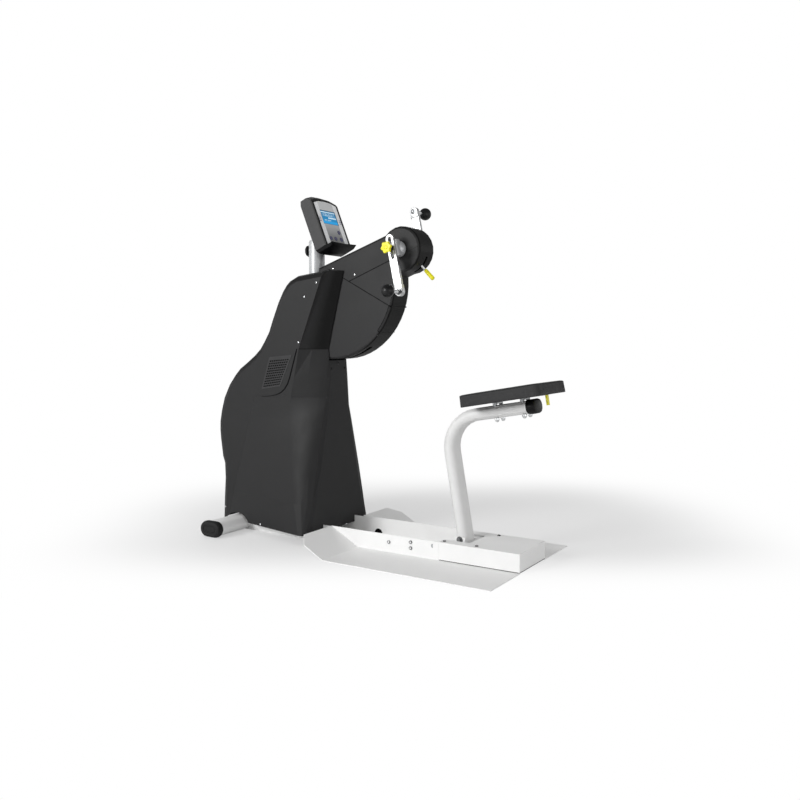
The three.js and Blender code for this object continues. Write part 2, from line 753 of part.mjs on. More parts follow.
function armOutline(grow) {
  const rearShares = [[-0.561, -0.714], [-0.796, 0.102], [-0.429, 1]];
  const chinTurn = Math.asin(chinDepth / sectorRadius) / degree;
  const joinTurn = Math.asin(chinDepth / headRadius) / degree - 180;
  const topTurn = 180 - Math.asin(armTopAtHead / headRadius) / degree;
  const points = [
    ...arc(0, 0, sectorRadius, -sectorTrail, -chinTurn, 18),
    ...arc(armLength, 0, headRadius, joinTurn, topTurn, 14),
    [rearShares[2][0] * armTop, armTop],
    [rearShares[1][0] * armTop, rearShares[1][1] * armTop],
    [rearShares[0][0] * armTop, rearShares[0][1] * armTop],
  ];
  return inset(points, -grow);
}

function armShell() {
  const side = armHalf - seatGap;
  const outer = plate(armOutline(0), -side, side, {
    bevelEnabled: true, bevelThickness: coverRound, bevelSize: coverRound, bevelOffset: -coverRound, bevelSegments: 2,
  });
  const inner = plate(armOutline(-coverWall), -armHalf + coverWall, armHalf - coverWall, {
    bevelEnabled: true, bevelThickness: coverRound, bevelSize: coverRound, bevelOffset: -coverRound, bevelSegments: 1,
  });
  const trail = -sectorTrail * degree;
  const deep = sectorRadius - coverWall;
  const opening = plate([
    [-armTop, armTop * 0.7], [-armTop * 2, 0], [1.3 * deep * Math.cos(trail), 1.3 * deep * Math.sin(trail)],
    [deep * Math.cos(trail + 0.02), deep * Math.sin(trail + 0.02)], [-armTop * 0.4, -armTop * 0.5],
    [-armTop * 0.6, armTop * 0.7],
  ], -armHalf + coverWall + coverRound / 2, armHalf - coverWall - coverRound / 2);
  const wide = armHalf + overrun;
  return cut(outer, inner, opening,
    rodY(shaftRadius + runGap, -wide, wide, 0, 0),
    rodY(shaftRadius + runGap, -wide, wide, armLength, 0));
}

const shell = armShell();
const rimStrip = 9;
const rimFrom = -60.5;
const rimTo = -38.5;

function rimRegion(gap) {
  const far = sectorRadius + overrun;
  const near = sectorRadius - coverWall - gap - rimStrip;
  const ease = gap / sectorRadius / degree;
  const outline = [...arc(0, 0, far, rimFrom - ease, rimTo + ease, 6),
    ...arc(0, 0, near, rimTo + ease, rimFrom - ease, 6)];
  return plate(outline, -armHalf - overrun, armHalf + overrun);
}

// The covers part along two straight lines that meet below the arm's middle
const seamMeetShares = [0.241, -0.06];
const [meetX, meetZ] = seamMeetShares.map((share) => share * armLength);
const seamTurn = -48.4;

function coverRegion(turns) {
  const far = 2 * armLength;
  const outline = [[meetX, meetZ], ...turns.map((turn) => (
    [meetX + far * Math.cos(turn * degree), meetZ + far * Math.sin(turn * degree)]))];
  return plate(inset(outline, seatGap / 2), -armHalf - overrun, armHalf + overrun);
}

const topCover = () => common(shell, coverRegion([0, 65, 180 + seamTurn]));

function sectorCover() {
  const beltTurn = Math.atan2(rotorZ - pivotZ, rotorX - pivotX) / degree;
  const beltSpread = Math.asin((largeWheel + beltThick + runGap) / sectorRadius) / degree;
  const from = beltTurn - tiltUp - beltSpread;
  const to = beltTurn + tiltDown + beltSpread;
  const beltSlot = [...arc(0, 0, sectorRadius + overrun, from, to, 10),
    ...arc(0, 0, largeWheel + beltThick + runGap, to + 90, from + 270, 14)];
  return cut(common(shell, coverRegion([180 + seamTurn, 180, 225, 270, 360 + seamTurn])),
    rimRegion(seatGap), plate(beltSlot, rotorBeltY - runGap, rotorBeltY + wheelWidth + runGap));
}

const rimCover = () => common(shell, rimRegion(0));

const leverTurn = -66;
const slotSpread = 27;

function lowerCover() {
  const halfSlot = leverRing + slotClear;
  const inside = headRadius - 3 * coverWall;
  const outline = [...arc(armLength, 0, headRadius + overrun, leverTurn - slotSpread, leverTurn + slotSpread, 6),
    ...arc(armLength, 0, inside, leverTurn + slotSpread, leverTurn - slotSpread, 6)];
  return cut(common(shell, coverRegion([seamTurn, -24, 0])),
    rimRegion(seatGap), plate(outline, leverY - halfSlot, leverY + halfSlot));
}

const upperBelt = () => beltBand([0, 0, smallWheel], [armLength, 0, crankWheel],
  beltThick, crankBeltY + bite, crankBeltY + wheelWidth - bite);

// Release lever: a ring round the crank sleeve, a chrome rod and a yellow grip
const leverRod = 4.5;
const rodInGrip = 24;
const ringWall = 8;
const leverGripFrom = 120;
const leverGripTo = 176;
const leverGripRadius = 7.5;
const ringSides = 20;

function radial(geometry) {
  return geometry.rotateY(-leverTurn * degree).translate(armLength, leverY, 0);
}

function releaseLever() {
  const ringWide = leverRing - seatGap;
  const rod = rodX(leverRod, bossRadius + ringWall / 2, leverGripFrom + rodInGrip, 0, 0, 12);
  return join(radial(rod),
    ringY(bossRadius + ringWall, (bossRadius + seatGap) / Math.cos(180 / ringSides * degree),
      leverY - ringWide, leverY + ringWide, armLength, 0, ringSides));
}

function leverGrip() {
  const grip = rodX(leverGripRadius, leverGripFrom, leverGripTo, 0, 0, 14);
  return radial(cut(grip, rodX(leverRod + seatGap, leverGripFrom - overrun,
    leverGripFrom + rodInGrip + seatGap, 0, 0, 12)));
}

// Cranks, drawn round their axle with the left crank pointing down

const hubFace = crankPlane - barThick - seatGap;
const hubGap = 2.5;
const hubStart = armHalf + hubGap;

function crankAxle() {
  const end = hubFace - axleShort;
  const web = 8;
  const rimDeep = 10;
  const hubWall = 10;
  const hubOver = 3;
  const rim = ringY(crankWheel, crankWheel - rimDeep, crankBeltY, crankBeltY + wheelWidth, 0, 0, 28);
  const disc = rodY(crankWheel - rimDeep / 2, crankBeltY + web / 2, crankBeltY + 3 * web / 2, 0, 0, 24);
  const hub = rodY(shaftRadius + hubWall, crankBeltY - hubOver, crankBeltY + wheelWidth + hubOver);
  return join(rim, disc, hub, rodY(shaftRadius, -end, end));
}

function hubPiece(side) {
  const neck = 24;
  const edge = 3;
  const flange = 10;
  const guideWall = 4;
  const guideDeep = 18;
  const guideSink = 6;
  const lip = 6;
  const coneEnd = hubFace - guideDeep;
  const cone = new THREE.LatheGeometry([
    [0, hubStart], [hubRadius - edge, hubStart], [hubRadius, hubStart + edge], [hubRadius, hubStart + flange],
    [neck, coneEnd], [0, coneEnd],
  ].map(([r, h]) => new THREE.Vector2(r, h)), 22);
  const halfGuide = barWidth / 2 + seatGap + guideWall;
  const guide = box(-halfGuide, halfGuide, coneEnd - guideSink, hubFace, -hubRadius, hubRadius);
  const lips = [-1, 1].map((s) => {
    const x = s * (halfGuide - guideWall / 2);
    return box(x - guideWall / 2, x + guideWall / 2, hubFace - bite, hubFace + lip, -hubRadius, hubRadius);
  });
  const solid = cut(join(cone, guide, ...lips),
    rodY(shaftRadius + seatGap, -overrun, hubFace - axleShort + seatGap),
    rodY(studRadius + seatGap, -overrun, hubFace + overrun, 0, 0, 16));
  return side < 0 ? solid.rotateZ(180 * degree) : solid;
}

function crankBar() {
  const half = barWidth / 2;
  const blockDeep = 4;
  const blockRise = 27;
  const shape = new THREE.Shape([
    ...arc(0, barTail, half, 0, 180, 8), ...arc(0, -crankRadius, half, 180, 360, 8),
  ].map(([x, z]) => new THREE.Vector2(x, z)));
  const slotHalfWidth = studRadius + 2 * seatGap;
  const slotEnd = slotReach - slotHalfWidth;
  shape.holes.push(new THREE.Path([
    ...arc(0, slotEnd, slotHalfWidth, 0, 180, 6), ...arc(0, -slotEnd, slotHalfWidth, 180, 360, 6),
  ].map(([x, z]) => new THREE.Vector2(x, z))));
  const bar = plate(shape, -crankPlane, -crankPlane + barThick);
  const inner = -crankPlane + barThick;
  const block = plate([...arc(0, -crankRadius, half, 180, 360, 8), [half, blockRise - crankRadius],
    [-half, blockRise - crankRadius]], inner - bite, inner + blockDeep);
  return cut(join(bar, block),
    rodY(spindleRadius + seatGap, -crankPlane - overrun, -crankPlane + overrun, 0, -crankRadius, 18));
}

function spindle() {
  const collar = 5;
  const collarLip = 5;
  const nutProud = 3;
  const start = -crankPlane + barThick + nutProud;
  const end = -gripPlane + gripRadius * 0.2;
  return join(rodY(spindleRadius, end, start, 0, -crankRadius, 18),
    rodY(spindleRadius + collarLip, -crankPlane - seatGap - collar, -crankPlane - seatGap, 0, -crankRadius, 18));
}

function ballGrip() {
  const ball = new THREE.SphereGeometry(gripRadius, 18, 12).translate(0, -gripPlane, -crankRadius);
  const bore = -gripPlane + gripRadius * 0.2 - seatGap;
  return cut(ball, rodY(spindleRadius + seatGap, bore, -gripPlane + gripRadius + overrun, 0, -crankRadius, 18));
}

function starKnob() {
  const lobes = 7;
  const perLobe = 4;
  const waist = 0.82;
  const points = Array.from({ length: lobes * perLobe }, (_, i) => {
    const turn = i / perLobe / lobes * 360 * degree;
    const wave = (1 + Math.cos(turn * lobes)) / 2;
    const radius = starRadius * (waist + (1 - waist) * wave);
    return [radius * Math.cos(turn), radius * Math.sin(turn)];
  });
  const neckRadius = 11;
  const rounding = 3;
  const foot = -crankPlane - seatGap;
  const head = plate(points, foot - starNeck - starDepth, foot - starNeck, {
    bevelEnabled: true, bevelThickness: rounding, bevelSize: rounding, bevelOffset: -rounding, bevelSegments: 1,
  });
  return join(head, rodY(neckRadius, foot - starNeck - bite, foot, 0, 0, 20),
    rodY(studRadius, foot - bite, axleShort - bite - hubFace, 0, 0, 14));
}

// Console, drawn from its tilt hinge with the face upright and looking along x

const faceX = consoleAhead;
const faceTop = consoleAbove;
const backWall = 3;
const faceThick = 4;
const faceRim = 4;

function consoleOutline(grow) {
  const half = consoleWidth / 2 + grow;
  const crown = 10;
  const corner = 8;
  const foot = faceTop - consoleHeight - grow;
  const top = faceTop + grow;
  return [[-half, foot], [half, foot], [half, top - corner], [half * 0.5, top + crown * 0.55],
    [0, top + crown * 0.8], [-half * 0.5, top + crown * 0.55], [-half, top - corner]];
}

// Extrudes a [y, z] outline along x
const slab = (outline, x0, x1) => new THREE.ExtrudeGeometry(
  new THREE.Shape(outline.map(([y, z]) => new THREE.Vector2(y, z))), { depth: x1 - x0, bevelEnabled: false })
  .rotateX(90 * degree).rotateZ(90 * degree).translate(x0, 0, 0);

const faceBehind = faceX - faceThick;

function consoleBack() {
  const back = faceX - consoleDepth;
  const earIn = 10;
  const earOut = 20;
  const earHalf = 20;
  const hoodShares = [[0, 0], [0.07, 0.05], [0.4, 0.135], [0.88, 0.13], [1, 0.035]];
  const hooded = (grow, rear, front) => loft(hoodShares.map(([behind, rise]) => (
    consoleOutline(grow).map(([y, z]) => new THREE.Vector3(
      front - behind * (front - rear), y, z > 0 ? z + rise * consoleHeight : z)))));
  const ears = [-1, 1].map((side) => {
    const y0 = Math.min(side * (earIn + seatGap), side * earOut);
    return plate([...arc(0, 0, hingeLug, 90, 270, 8), [back + backWall / 2, -earHalf], [back + backWall / 2, earHalf]],
      y0, y0 + earOut - earIn - seatGap);
  });
  const body = cut(hooded(0, back, faceX - seatGap),
    hooded(-backWall, back + backWall * 3, faceBehind - 2 * seatGap),
    slab(consoleOutline(-faceRim), faceBehind - 2 * seatGap, faceX + overrun));
  return cut(join(body, ...ears), rodY(hingePin + seatGap, -overrun, overrun, 0, 0, 16));
}

const displayTop = faceTop - displayDrop;
const keyPlaceShares = [[0.186, 0.68], [-0.213, 0.837], [-0.029, 0.837], [0.191, 0.837]];
const keyPlaces = keyPlaceShares.map(([across, down]) => (
  [across * consoleWidth, faceTop - down * consoleHeight]));

function consoleFace() {
  const half = displayWidth / 2 + seatGap;
  const holes = keyPlaces.map(([y, z]) => rodX(keyRadius + seatGap, faceX - overrun, faceX + overrun, y, z, 16));
  return cut(slab(consoleOutline(-faceRim - seatGap), faceBehind - seatGap, faceX - seatGap), ...holes,
    box(faceX - overrun, faceX + overrun, -half, half,
      displayTop - displayHeight - seatGap, displayTop + seatGap));
}

function display() {
  const half = displayWidth / 2;
  const sunk = 5 * seatGap;
  return box(faceX - displayThick - sunk, faceX - sunk, -half, half, displayTop - displayHeight, displayTop);
}

function consoleTray() {
  const lip = 33;
  const deep = 27;
  const hollow = 5;
  const back = faceX - consoleDepth;
  const top = faceTop - consoleHeight - seatGap;
  const half = consoleWidth / 2;
  const rowShares = [[0.31, -0.4, 0.6, 1], [0.06, 0.5, 0.92, 0.5], [0, 1, 1, 0]];
  return loft(rowShares.map(([behind, ahead, side, down]) => {
    const x0 = back + behind * consoleDepth;
    const x1 = faceX + ahead * lip;
    const y = side * half;
    return [[x0, -y], [x1, -y], [x1 - hollow, 0], [x1, y], [x0, y]]
      .map(([x, w]) => new THREE.Vector3(x, w, top - down * deep));
  }));
}

const keyPiece = ([y, z]) => (
  rodX(keyRadius, faceBehind - 3 * keyProud, faceX + keyProud, y, z, 16));

function consoleRiser() {
  const lug = 10;
  const lugFoot = 16;
  const pinHalf = 22;
  const tubeRadius = mastRadius - sheet - seatGap;
  const foot = riserFoot - hingeHeight;
  const top = mastTop + riserAbove - hingeHeight;
  const tube = cut(rodZ(tubeRadius, foot, top, 0, 0, 28),
    rodZ(tubeRadius - sheet, foot - overrun, top - sheet, 0, 0, 28));
  const tongue = plate([...arc(0, 0, hingeLug, -45, 225, 10), [-lugFoot, top - bite], [lugFoot, top - bite]], -lug, lug);
  return join(tube, tongue, rodY(hingePin, -pinHalf, pinHalf, 0, 0, 16));
}

// Mast and its clamp knob

function mast() {
  return cut(rodZ(mastRadius, mastFoot + seatGap, mastTop, -mastSetback, 0, 28),
    rodZ(mastRadius - sheet, mastFoot - overrun, mastTop + overrun, -mastSetback, 0, 28),
    rodX(studRadius + seatGap, -mastSetback - mastRadius - overrun, -mastSetback - mastRadius / 2,
      0, clampHeight, 14));
}

function clampKnob() {
  const radius = 26;
  const thick = 10;
  const neck = 3;
  const neckRadius = 10;
  const wall = -mastSetback - mastRadius;
  const start = wall - neck;
  return join(rodX(radius, start - thick, start, 0, clampHeight, 10),
    rodX(neckRadius, start - bite, wall - seatGap, 0, clampHeight, 14),
    rodX(studRadius, start - bite, wall + sheet, 0, clampHeight, 14));
}

// Seat and post, drawn from the bend's corner with the post upright and the seat level

function postOutline(grow) {
  const radius = postDeep / 2 + grow;
  const half = (postWide - postDeep) / 2;
  return [...arc(half, 0, radius, -90, 90, 6), ...arc(-half, 0, radius, 90, 270, 6)];
}

function postTube(grow, extra) {
  const outline = postOutline(grow);
  const stations = [[0, -postDrop - extra, 0]];
  const steps = 8;
  for (let i = 0; i <= steps; i += 1) {
    const turn = 90 * i / steps;
    stations.push([postBend * (1 - Math.cos(turn * degree)), -postBend * (1 - Math.sin(turn * degree)), turn]);
  }
  stations.push([postReach + extra, 0, 90]);
  return loft(stations.map(([x, z, turn]) => outline.map(([across, deep]) => new THREE.Vector3(
    x + deep * Math.cos(turn * degree), across, z - deep * Math.sin(turn * degree)))));
}

const shank = 4;
const boltPlaces = [spacerAt, spacerAt + spacerStep].flatMap((x) => [[x, -spacerHalf], [x, spacerHalf]]);
const padUnder = seatTop - seatThick;

function seatPost() {
  return cut(postTube(0, 0), postTube(-postWall, overrun),
    ...boltPlaces.map(([x, y]) => rodZ(shank + seatGap, -postDeep, postDeep, x, y, 12)));
}

function postEndCap() {
  const rim = 3.5;
  const thick = 38;
  const lap = 4;
  const rounding = 7;
  const body = new THREE.ExtrudeGeometry(new THREE.Shape(postOutline(rim).map(([y, z]) => new THREE.Vector2(y, z))), {
    depth: thick - 2 * rounding, bevelEnabled: true, bevelThickness: rounding, bevelSize: rounding,
    bevelOffset: -rounding, bevelSegments: 2,
  }).rotateX(90 * degree).rotateZ(90 * degree).translate(postReach - lap + rounding, 0, 0);
  return cut(body, slab(postOutline(seatGap), postReach - overrun, postReach + seatGap));
}

function seatRails() {
  const nut = 9;
  const nutDeep = 6;
  const spacerRadius = 9;
  const railTail = 25;
  const under = -postDeep / 2 - seatGap;
  const onPost = postDeep / 2 + seatGap;
  const x0 = spacerAt - railTail;
  const x1 = spacerAt + spacerStep + railHalf;
  const rails = [-1, 1].map((side) => box(x0, x1, side * spacerHalf - railHalf, side * spacerHalf + railHalf,
    padUnder, padUnder + railThick));
  const studs = boltPlaces.flatMap(([x, y]) => [
    rodZ(nut, under - nutDeep, under, x, y, 6),
    rodZ(shank, under - bite, padUnder + bite, x, y, 12),
    rodZ(spacerRadius, onPost, padUnder + bite, x, y, 14),
  ]);
  const ties = [spacerAt, spacerAt + spacerStep].map((x) => (
    box(x - spacerRadius, x + spacerRadius, -spacerHalf, spacerHalf, padUnder - railThick, padUnder - seatGap)));
  return join(...rails, ...ties, ...studs);
}

const leverX = seatStart + seatLength - leverInset;
const leverHingeX = leverX + seatGap + leverThick / 2;
const pocketTop = padUnder + pocketDeep;
const leverZ = pocketTop - seatGap - boardThick - leverDrop - leverThick / 2 + bite;

function seatBoard() {
  const boardSide = 22;
  const strip = 5;
  const skidFrom = 10;
  const skidTo = 50;
  const lugDeep = 14;
  const lugFoot = 12;
  const earDeep = 10;
  const earFoot = 6;
  const earThick = 4;
  const x0 = seatStart + padRim + boardEase;
  const x1 = seatStart + seatLength - padRim - boardEase;
  const half = seatWidth / 2 - boardSide;
  const top = pocketTop - seatGap;
  const under = top - boardThick;
  const strips = [-1, 1].flatMap((side) => [-1, 1].map((edge) => {
    const y = side * spacerHalf + edge * (railHalf + seatGap + strip / 2);
    return box(x0 + skidFrom, x1 - skidTo, y - strip / 2, y + strip / 2, padUnder + seatGap, under + bite);
  }));
  const skids = [-1, 1].map((side) => box(x0 + skidFrom, x1 - skidTo,
    side * spacerHalf - railHalf - bite, side * spacerHalf + railHalf + bite,
    padUnder + railThick + seatGap, under + bite));
  const lugHalf = leverHalf + earThick;
  const lug = box(leverX - lugDeep, leverX, -lugHalf, lugHalf, leverZ - lugFoot, under + bite);
  const ears = [-1, 1].map((side) => {
    const y0 = side < 0 ? -lugHalf : leverHalf + seatGap;
    return box(leverX - bite, leverX + earDeep, y0, y0 + earThick - seatGap, leverZ - earFoot, under + bite);
  });
  return cut(join(box(x0, x1, -half, half, under, top), ...strips, ...skids, lug, ...ears),
    rodY(leverPin + seatGap, -leverHalf - overrun, leverHalf + overrun, leverHingeX, leverZ, 12));
}

function seatLever() {
  const reachShares = [0, -0.15];
  const pinProud = 4;
  const [ahead, down] = reachShares.map((share) => share * seatLength);
  const x0 = leverX + seatGap;
  const x1 = x0 + leverThick;
  const blade = plate([[x0, leverZ], [x1, leverZ], [x1 + ahead, leverZ + down], [x0 + ahead, leverZ + down]],
    -leverHalf, leverHalf);
  return join(blade, rodY(leverThick / 2, -leverHalf, leverHalf, leverHingeX, leverZ, 14),
    rodY(leverPin, -leverHalf - pinProud, leverHalf + pinProud, leverHingeX, leverZ, 12));
}

function seatPad() {
  const corner = 8;
  const drawn = 3;
  const perSide = 6;
  const edge = 4;
  const outline = (shrink) => {
    const points = [];
    const halfX = seatLength / 2 - shrink;
    const halfY = seatWidth / 2 - shrink;
    const radius = Math.max(corner - shrink, edge);
    [[1, -1, -90], [1, 1, 0], [-1, 1, 90], [-1, -1, 180]].forEach(([sx, sy, from], k) => {
      points.push(...arc(sx * (halfX - radius), sy * (halfY - radius), radius, from, from + 90, 3));
      const [ax, ay] = points.at(-1);
      const turn = k % 2 === 0 ? [0, 1] : [1, 0];
      const run = k % 2 === 0 ? [0, -sy * 2 * (halfY - radius)] : [-sx * 2 * (halfX - radius), 0];
      for (let i = 1; i < perSide; i += 1) {
        const t = i / perSide;
        const pull = drawn * Math.sin(Math.PI * t);
        points.push([ax + run[0] * t - (run[0] === 0 ? sx * pull : 0) * turn[1],
          ay + run[1] * t - (run[1] === 0 ? sy * pull : 0) * turn[0]]);
      }
    });
    return points;
  };
  const middle = seatStart + seatLength / 2;
  const layer = (shrink, z) => outline(shrink).map(([x, y]) => new THREE.Vector3(x + middle, y, z));
  const top = seatTop - seatCrown;
  const body = loft([
    layer(edge / 2, padUnder), layer(0, padUnder + edge), layer(0, top - edge), layer(edge * 0.6, top - edge * 0.2),
    layer(edge * 3, top + seatCrown * 0.35), layer(edge * 9, top + seatCrown * 0.8), layer(edge * 15, seatTop),
  ]);
  const sideRim = 20;
  const halfPocket = seatWidth / 2 - sideRim;
  return cut(body, box(seatStart + padRim, seatStart + seatLength - padRim, -halfPocket, halfPocket,
    padUnder - overrun, pocketTop));
}

const seatTurn = seatTilt * degree;
const bracketWall = 12;
const lugProud = 3;
const postFootX = -bendSetback + postDrop * Math.sin(seatTurn);
const lugOut = -postWide / 2 - bracketWall - lugProud;

function postBracket() {
  const reach = 55;
  const topDrop = 8;
  const lugRear = 34;
  const lugFront = 14;
  const lugRise = 14;
  const lugThick = 11;
  const half = postWide / 2 + bracketWall;
  const top = beamHeight - sheet - topDrop;
  const block = box(postFootX - reach, postFootX + reach, -half, half, sheet + seatGap, top);
  const lug = box(postFootX - lugRear, postFootX + lugFront, lugOut, lugOut + lugThick, top - bite,
    beamHeight + lugRise);
  const post = postTube(seatGap, overrun).rotateY(-seatTurn).translate(-bendSetback, 0, bendHeight);
  return cut(join(block, lug), post);
}

function postClampBolt() {
  const washer = 3;
  const washerRadius = 11;
  const head = 6;
  const headRadius = 7.5;
  const aside = 10;
  const above = 3;
  const x = postFootX - aside;
  const z = beamHeight + above;
  const seat = lugOut - seatGap;
  return join(rodY(washerRadius, seat - washer, seat, x, z, 18),
    rodY(headRadius, seat - washer - head, seat - washer + bite, x, z, 6));
}

// Floor frame pieces
add(machine, 'base_beam', baseBeam(), whitePowder);
add(machine, 'beam_cover', beamCover(), whitePowder);
add(machine, 'post_bracket', postBracket(), whitePowder);
add(machine, 'post_clamp_bolt', postClampBolt(), chrome);
add(machine, 'rear_stabilizer', stabilizerTube(), whitePowder);

// Column pieces
add(machine, 'column_frame', columnFrame(), steel);
add(machine, 'front_shroud', frontShroud(), greyHousing);
add(machine, 'rim_brake', rimBrake(), rubber);
add(machine, 'brake_unit', brakeUnit(), copper);
add(machine, 'brake_rotor', brakeRotor(), steel);
add(machine, 'lower_belt', lowerBelt(), rubber);
add(machine, 'mast', mast(), silverPaint);
add(machine, 'clamp_knob', clampKnob(), blackPlastic);

[['left', -1], ['right', 1]].forEach(([name, side]) => {
  const y0 = side < 0 ? -uprightIn - uprightThick : uprightIn;
  add(machine, `foot_plate_${name}`, footPlate(side), whitePowder);
  add(machine, `stabilizer_cap_${name}`, stabilizerEnd(side), rubber);
  add(machine, `housing_${name}`, housingHalf(side), greyHousing);
  add(machine, `pivot_bearing_${name}`, bearing(y0, pivotX, pivotZ), steel);
  add(machine, `rotor_bearing_${name}`, bearing(y0, rotorX, rotorZ), steel);
});

// Arm pieces
const arm = new THREE.Group();
arm.position.set(pivotX, 0, pivotZ);
arm.rotation.y = -armRise * degree;
machine.add(arm);
add(arm, 'pivot_shaft', pivotShaft(), steel);
add(arm, 'arm_frame', armFrame(), steel);
add(arm, 'crank_bearing_left', crankBearing(-1), chrome);
add(arm, 'crank_bearing_right', crankBearing(1), chrome);
add(arm, 'arm_cover_top', topCover(), greyHousing);
add(arm, 'arm_cover_lower', lowerCover(), greyHousing);
add(arm, 'sector_cover', sectorCover(), greyHousing);
add(arm, 'rim_cover', rimCover(), greyHousing);
add(arm, 'upper_belt', upperBelt(), rubber);
add(arm, 'release_lever', releaseLever(), chrome);
add(arm, 'lever_grip', leverGrip(), yellowPlastic);

// Crank pieces: the right side is the left one turned half round the axle and mirrored across it
const crank = new THREE.Group();
crank.position.x = armLength;
crank.rotation.y = (armRise - crankLean) * degree;
arm.add(crank);
add(crank, 'crank_axle', crankAxle(), steel);
add(crank, 'hub_left', hubPiece(-1), brightAluminium);
add(crank, 'hub_right', hubPiece(1), brightAluminium);
[['left', 0], ['right', 180]].forEach(([side, turn]) => {
  const branch = new THREE.Group();
  branch.rotation.x = turn * degree;
  crank.add(branch);
  add(branch, `crank_bar_${side}`, crankBar(), brightAluminium);
  add(branch, `spindle_${side}`, spindle(), chrome);
  add(branch, `ball_grip_${side}`, ballGrip(), glossBlack);
  add(branch, `star_knob_${side}`, starKnob(), yellowPlastic);
});

// Console pieces
const consoleBase = new THREE.Group();
consoleBase.position.set(-mastSetback, 0, hingeHeight);
machine.add(consoleBase);
add(consoleBase, 'console_riser', consoleRiser(), silverPaint);
const consoleHead = new THREE.Group();
consoleHead.rotation.y = -consoleTilt * degree;
consoleBase.add(consoleHead);
add(consoleHead, 'console_back', consoleBack(), greyHousing);
add(consoleHead, 'console_face', consoleFace(), paleFace);
add(consoleHead, 'display', display(), blueScreen);
add(consoleHead, 'console_tray', consoleTray(), blackPlastic);
keyPlaces.forEach((place, i) => add(consoleHead, `key_${i + 1}`, keyPiece(place), keyViolet));

// Seat pieces
const seat = new THREE.Group();
seat.position.set(-bendSetback, 0, bendHeight);
seat.rotation.y = -seatTurn;
machine.add(seat);
add(seat, 'seat_post', seatPost(), whitePowder);
add(seat, 'post_end_cap', postEndCap(), blackPlastic);
add(seat, 'seat_rails', seatRails(), steel);
add(seat, 'seat_board', seatBoard(), board);
add(seat, 'seat_pad', seatPad(), darkPad);
add(seat, 'seat_lever', seatLever(), yellowPlastic);

// The base centred on the origin
machine.updateMatrixWorld(true);
const bounds = new THREE.Box3().setFromObject(machine, true);
const middle = bounds.getCenter(new THREE.Vector3());
const assembly = new THREE.Group();
assembly.position.set(-middle.x, -middle.y, -bounds.min.z);
assembly.add(machine);

export default assembly;
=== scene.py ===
import json
import math

import bmesh
import bpy
from bpy.props import FloatProperty, FloatVectorProperty, IntProperty, PointerProperty
from mathutils import Matrix, Vector


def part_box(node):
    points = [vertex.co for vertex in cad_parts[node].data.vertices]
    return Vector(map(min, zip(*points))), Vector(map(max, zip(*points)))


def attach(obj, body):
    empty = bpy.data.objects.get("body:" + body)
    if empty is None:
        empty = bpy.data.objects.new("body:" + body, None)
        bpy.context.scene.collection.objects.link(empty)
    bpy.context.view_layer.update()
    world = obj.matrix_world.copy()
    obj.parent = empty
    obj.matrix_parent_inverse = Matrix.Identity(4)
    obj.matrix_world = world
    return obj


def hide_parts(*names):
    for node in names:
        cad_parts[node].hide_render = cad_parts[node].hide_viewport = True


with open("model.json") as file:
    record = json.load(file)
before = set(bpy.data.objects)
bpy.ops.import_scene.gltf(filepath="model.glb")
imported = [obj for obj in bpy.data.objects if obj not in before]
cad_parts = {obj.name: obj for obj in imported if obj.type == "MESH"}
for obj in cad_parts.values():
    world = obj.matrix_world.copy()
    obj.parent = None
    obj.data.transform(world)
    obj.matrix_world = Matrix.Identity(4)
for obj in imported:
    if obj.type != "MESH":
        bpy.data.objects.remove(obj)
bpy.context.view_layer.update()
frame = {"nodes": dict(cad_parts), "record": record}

bl_info = {
    "name": "Arm ergometer",
    "version": (1, 0, 0),
    "blender": (4, 5, 0),
    "location": "View3D > Sidebar > Ergometer",
    "description": "Builds the visible pieces of an arm ergometer round its fixed frame",
    "category": "Add Mesh",
}

MM = 0.001
BODY = {node: body for body, nodes in frame["record"]["behaviour"]["bodies"].items() for node in nodes}
SLOT = {part["node"]: part["material_slot"] for part in frame["record"]["subparts"]}
SIDES = {"left": -1, "right": 1}


def low_high(name, unit=1.0):
    """Lowest and highest corner of a frame node, in metres or in another unit."""
    low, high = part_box(name)
    return Vector(low) / unit, Vector(high) / unit


def middle(name):
    """Middle of a frame node's box, in metres."""
    low, high = low_high(name)
    return (low + high) / 2


# Places that several pieces share, in metres, and in millimetres the beam's end at the seat
AXLE = middle("crank_axle")
PIVOT = middle("pivot_shaft")
HINGE = Vector((middle("console_riser").x, 0, 1.4))
SEAT_END = low_high("beam_cover", MM)[1].x
# How far side walls stand from the middle plane, in millimetres
HOUSING_SIDE, ARM_SIDE, PLATE_WALL, BEAM_WALL = 145, 61.7, 126, 119.6
# The console's own coordinates: x out of the face, y across, z up the face
CONSOLE_TILT = math.radians(22.4)
CONSOLE = Matrix.Translation(HINGE) @ Matrix.Rotation(-CONSOLE_TILT, 4, "Y")
FACE_X, FACE_TOP = 86, 92.5
# Turns that point a turned body's axis along x, or out of the near side
ALONG_X = Matrix.Rotation(math.radians(90), 4, "Y")
OUTWARDS = Matrix.Rotation(math.radians(90), 4, "X")


def spot(x, y, z):
    """A point, from millimetres from the seat end of the beam, the middle plane and the floor."""
    return Vector((SEAT_END + x, y, z)) * MM


def facing(place, normal):
    """A place whose z points along a normal."""
    return Matrix.Translation(place) @ Vector(normal).to_track_quat("Z", "Y").to_matrix().to_4x4()


def number(name, about, value, **kind):
    return FloatProperty(name=name, description=about, default=value, **kind)


def length(name, about, value):
    """A length, its default given in millimetres."""
    return number(name, about, value * MM, unit="LENGTH", min=0.0)


def tint(name, about, *value):
    """A colour, its default given as red, green and blue."""
    return FloatVectorProperty(name=name, description=about, subtype="COLOR", default=value)


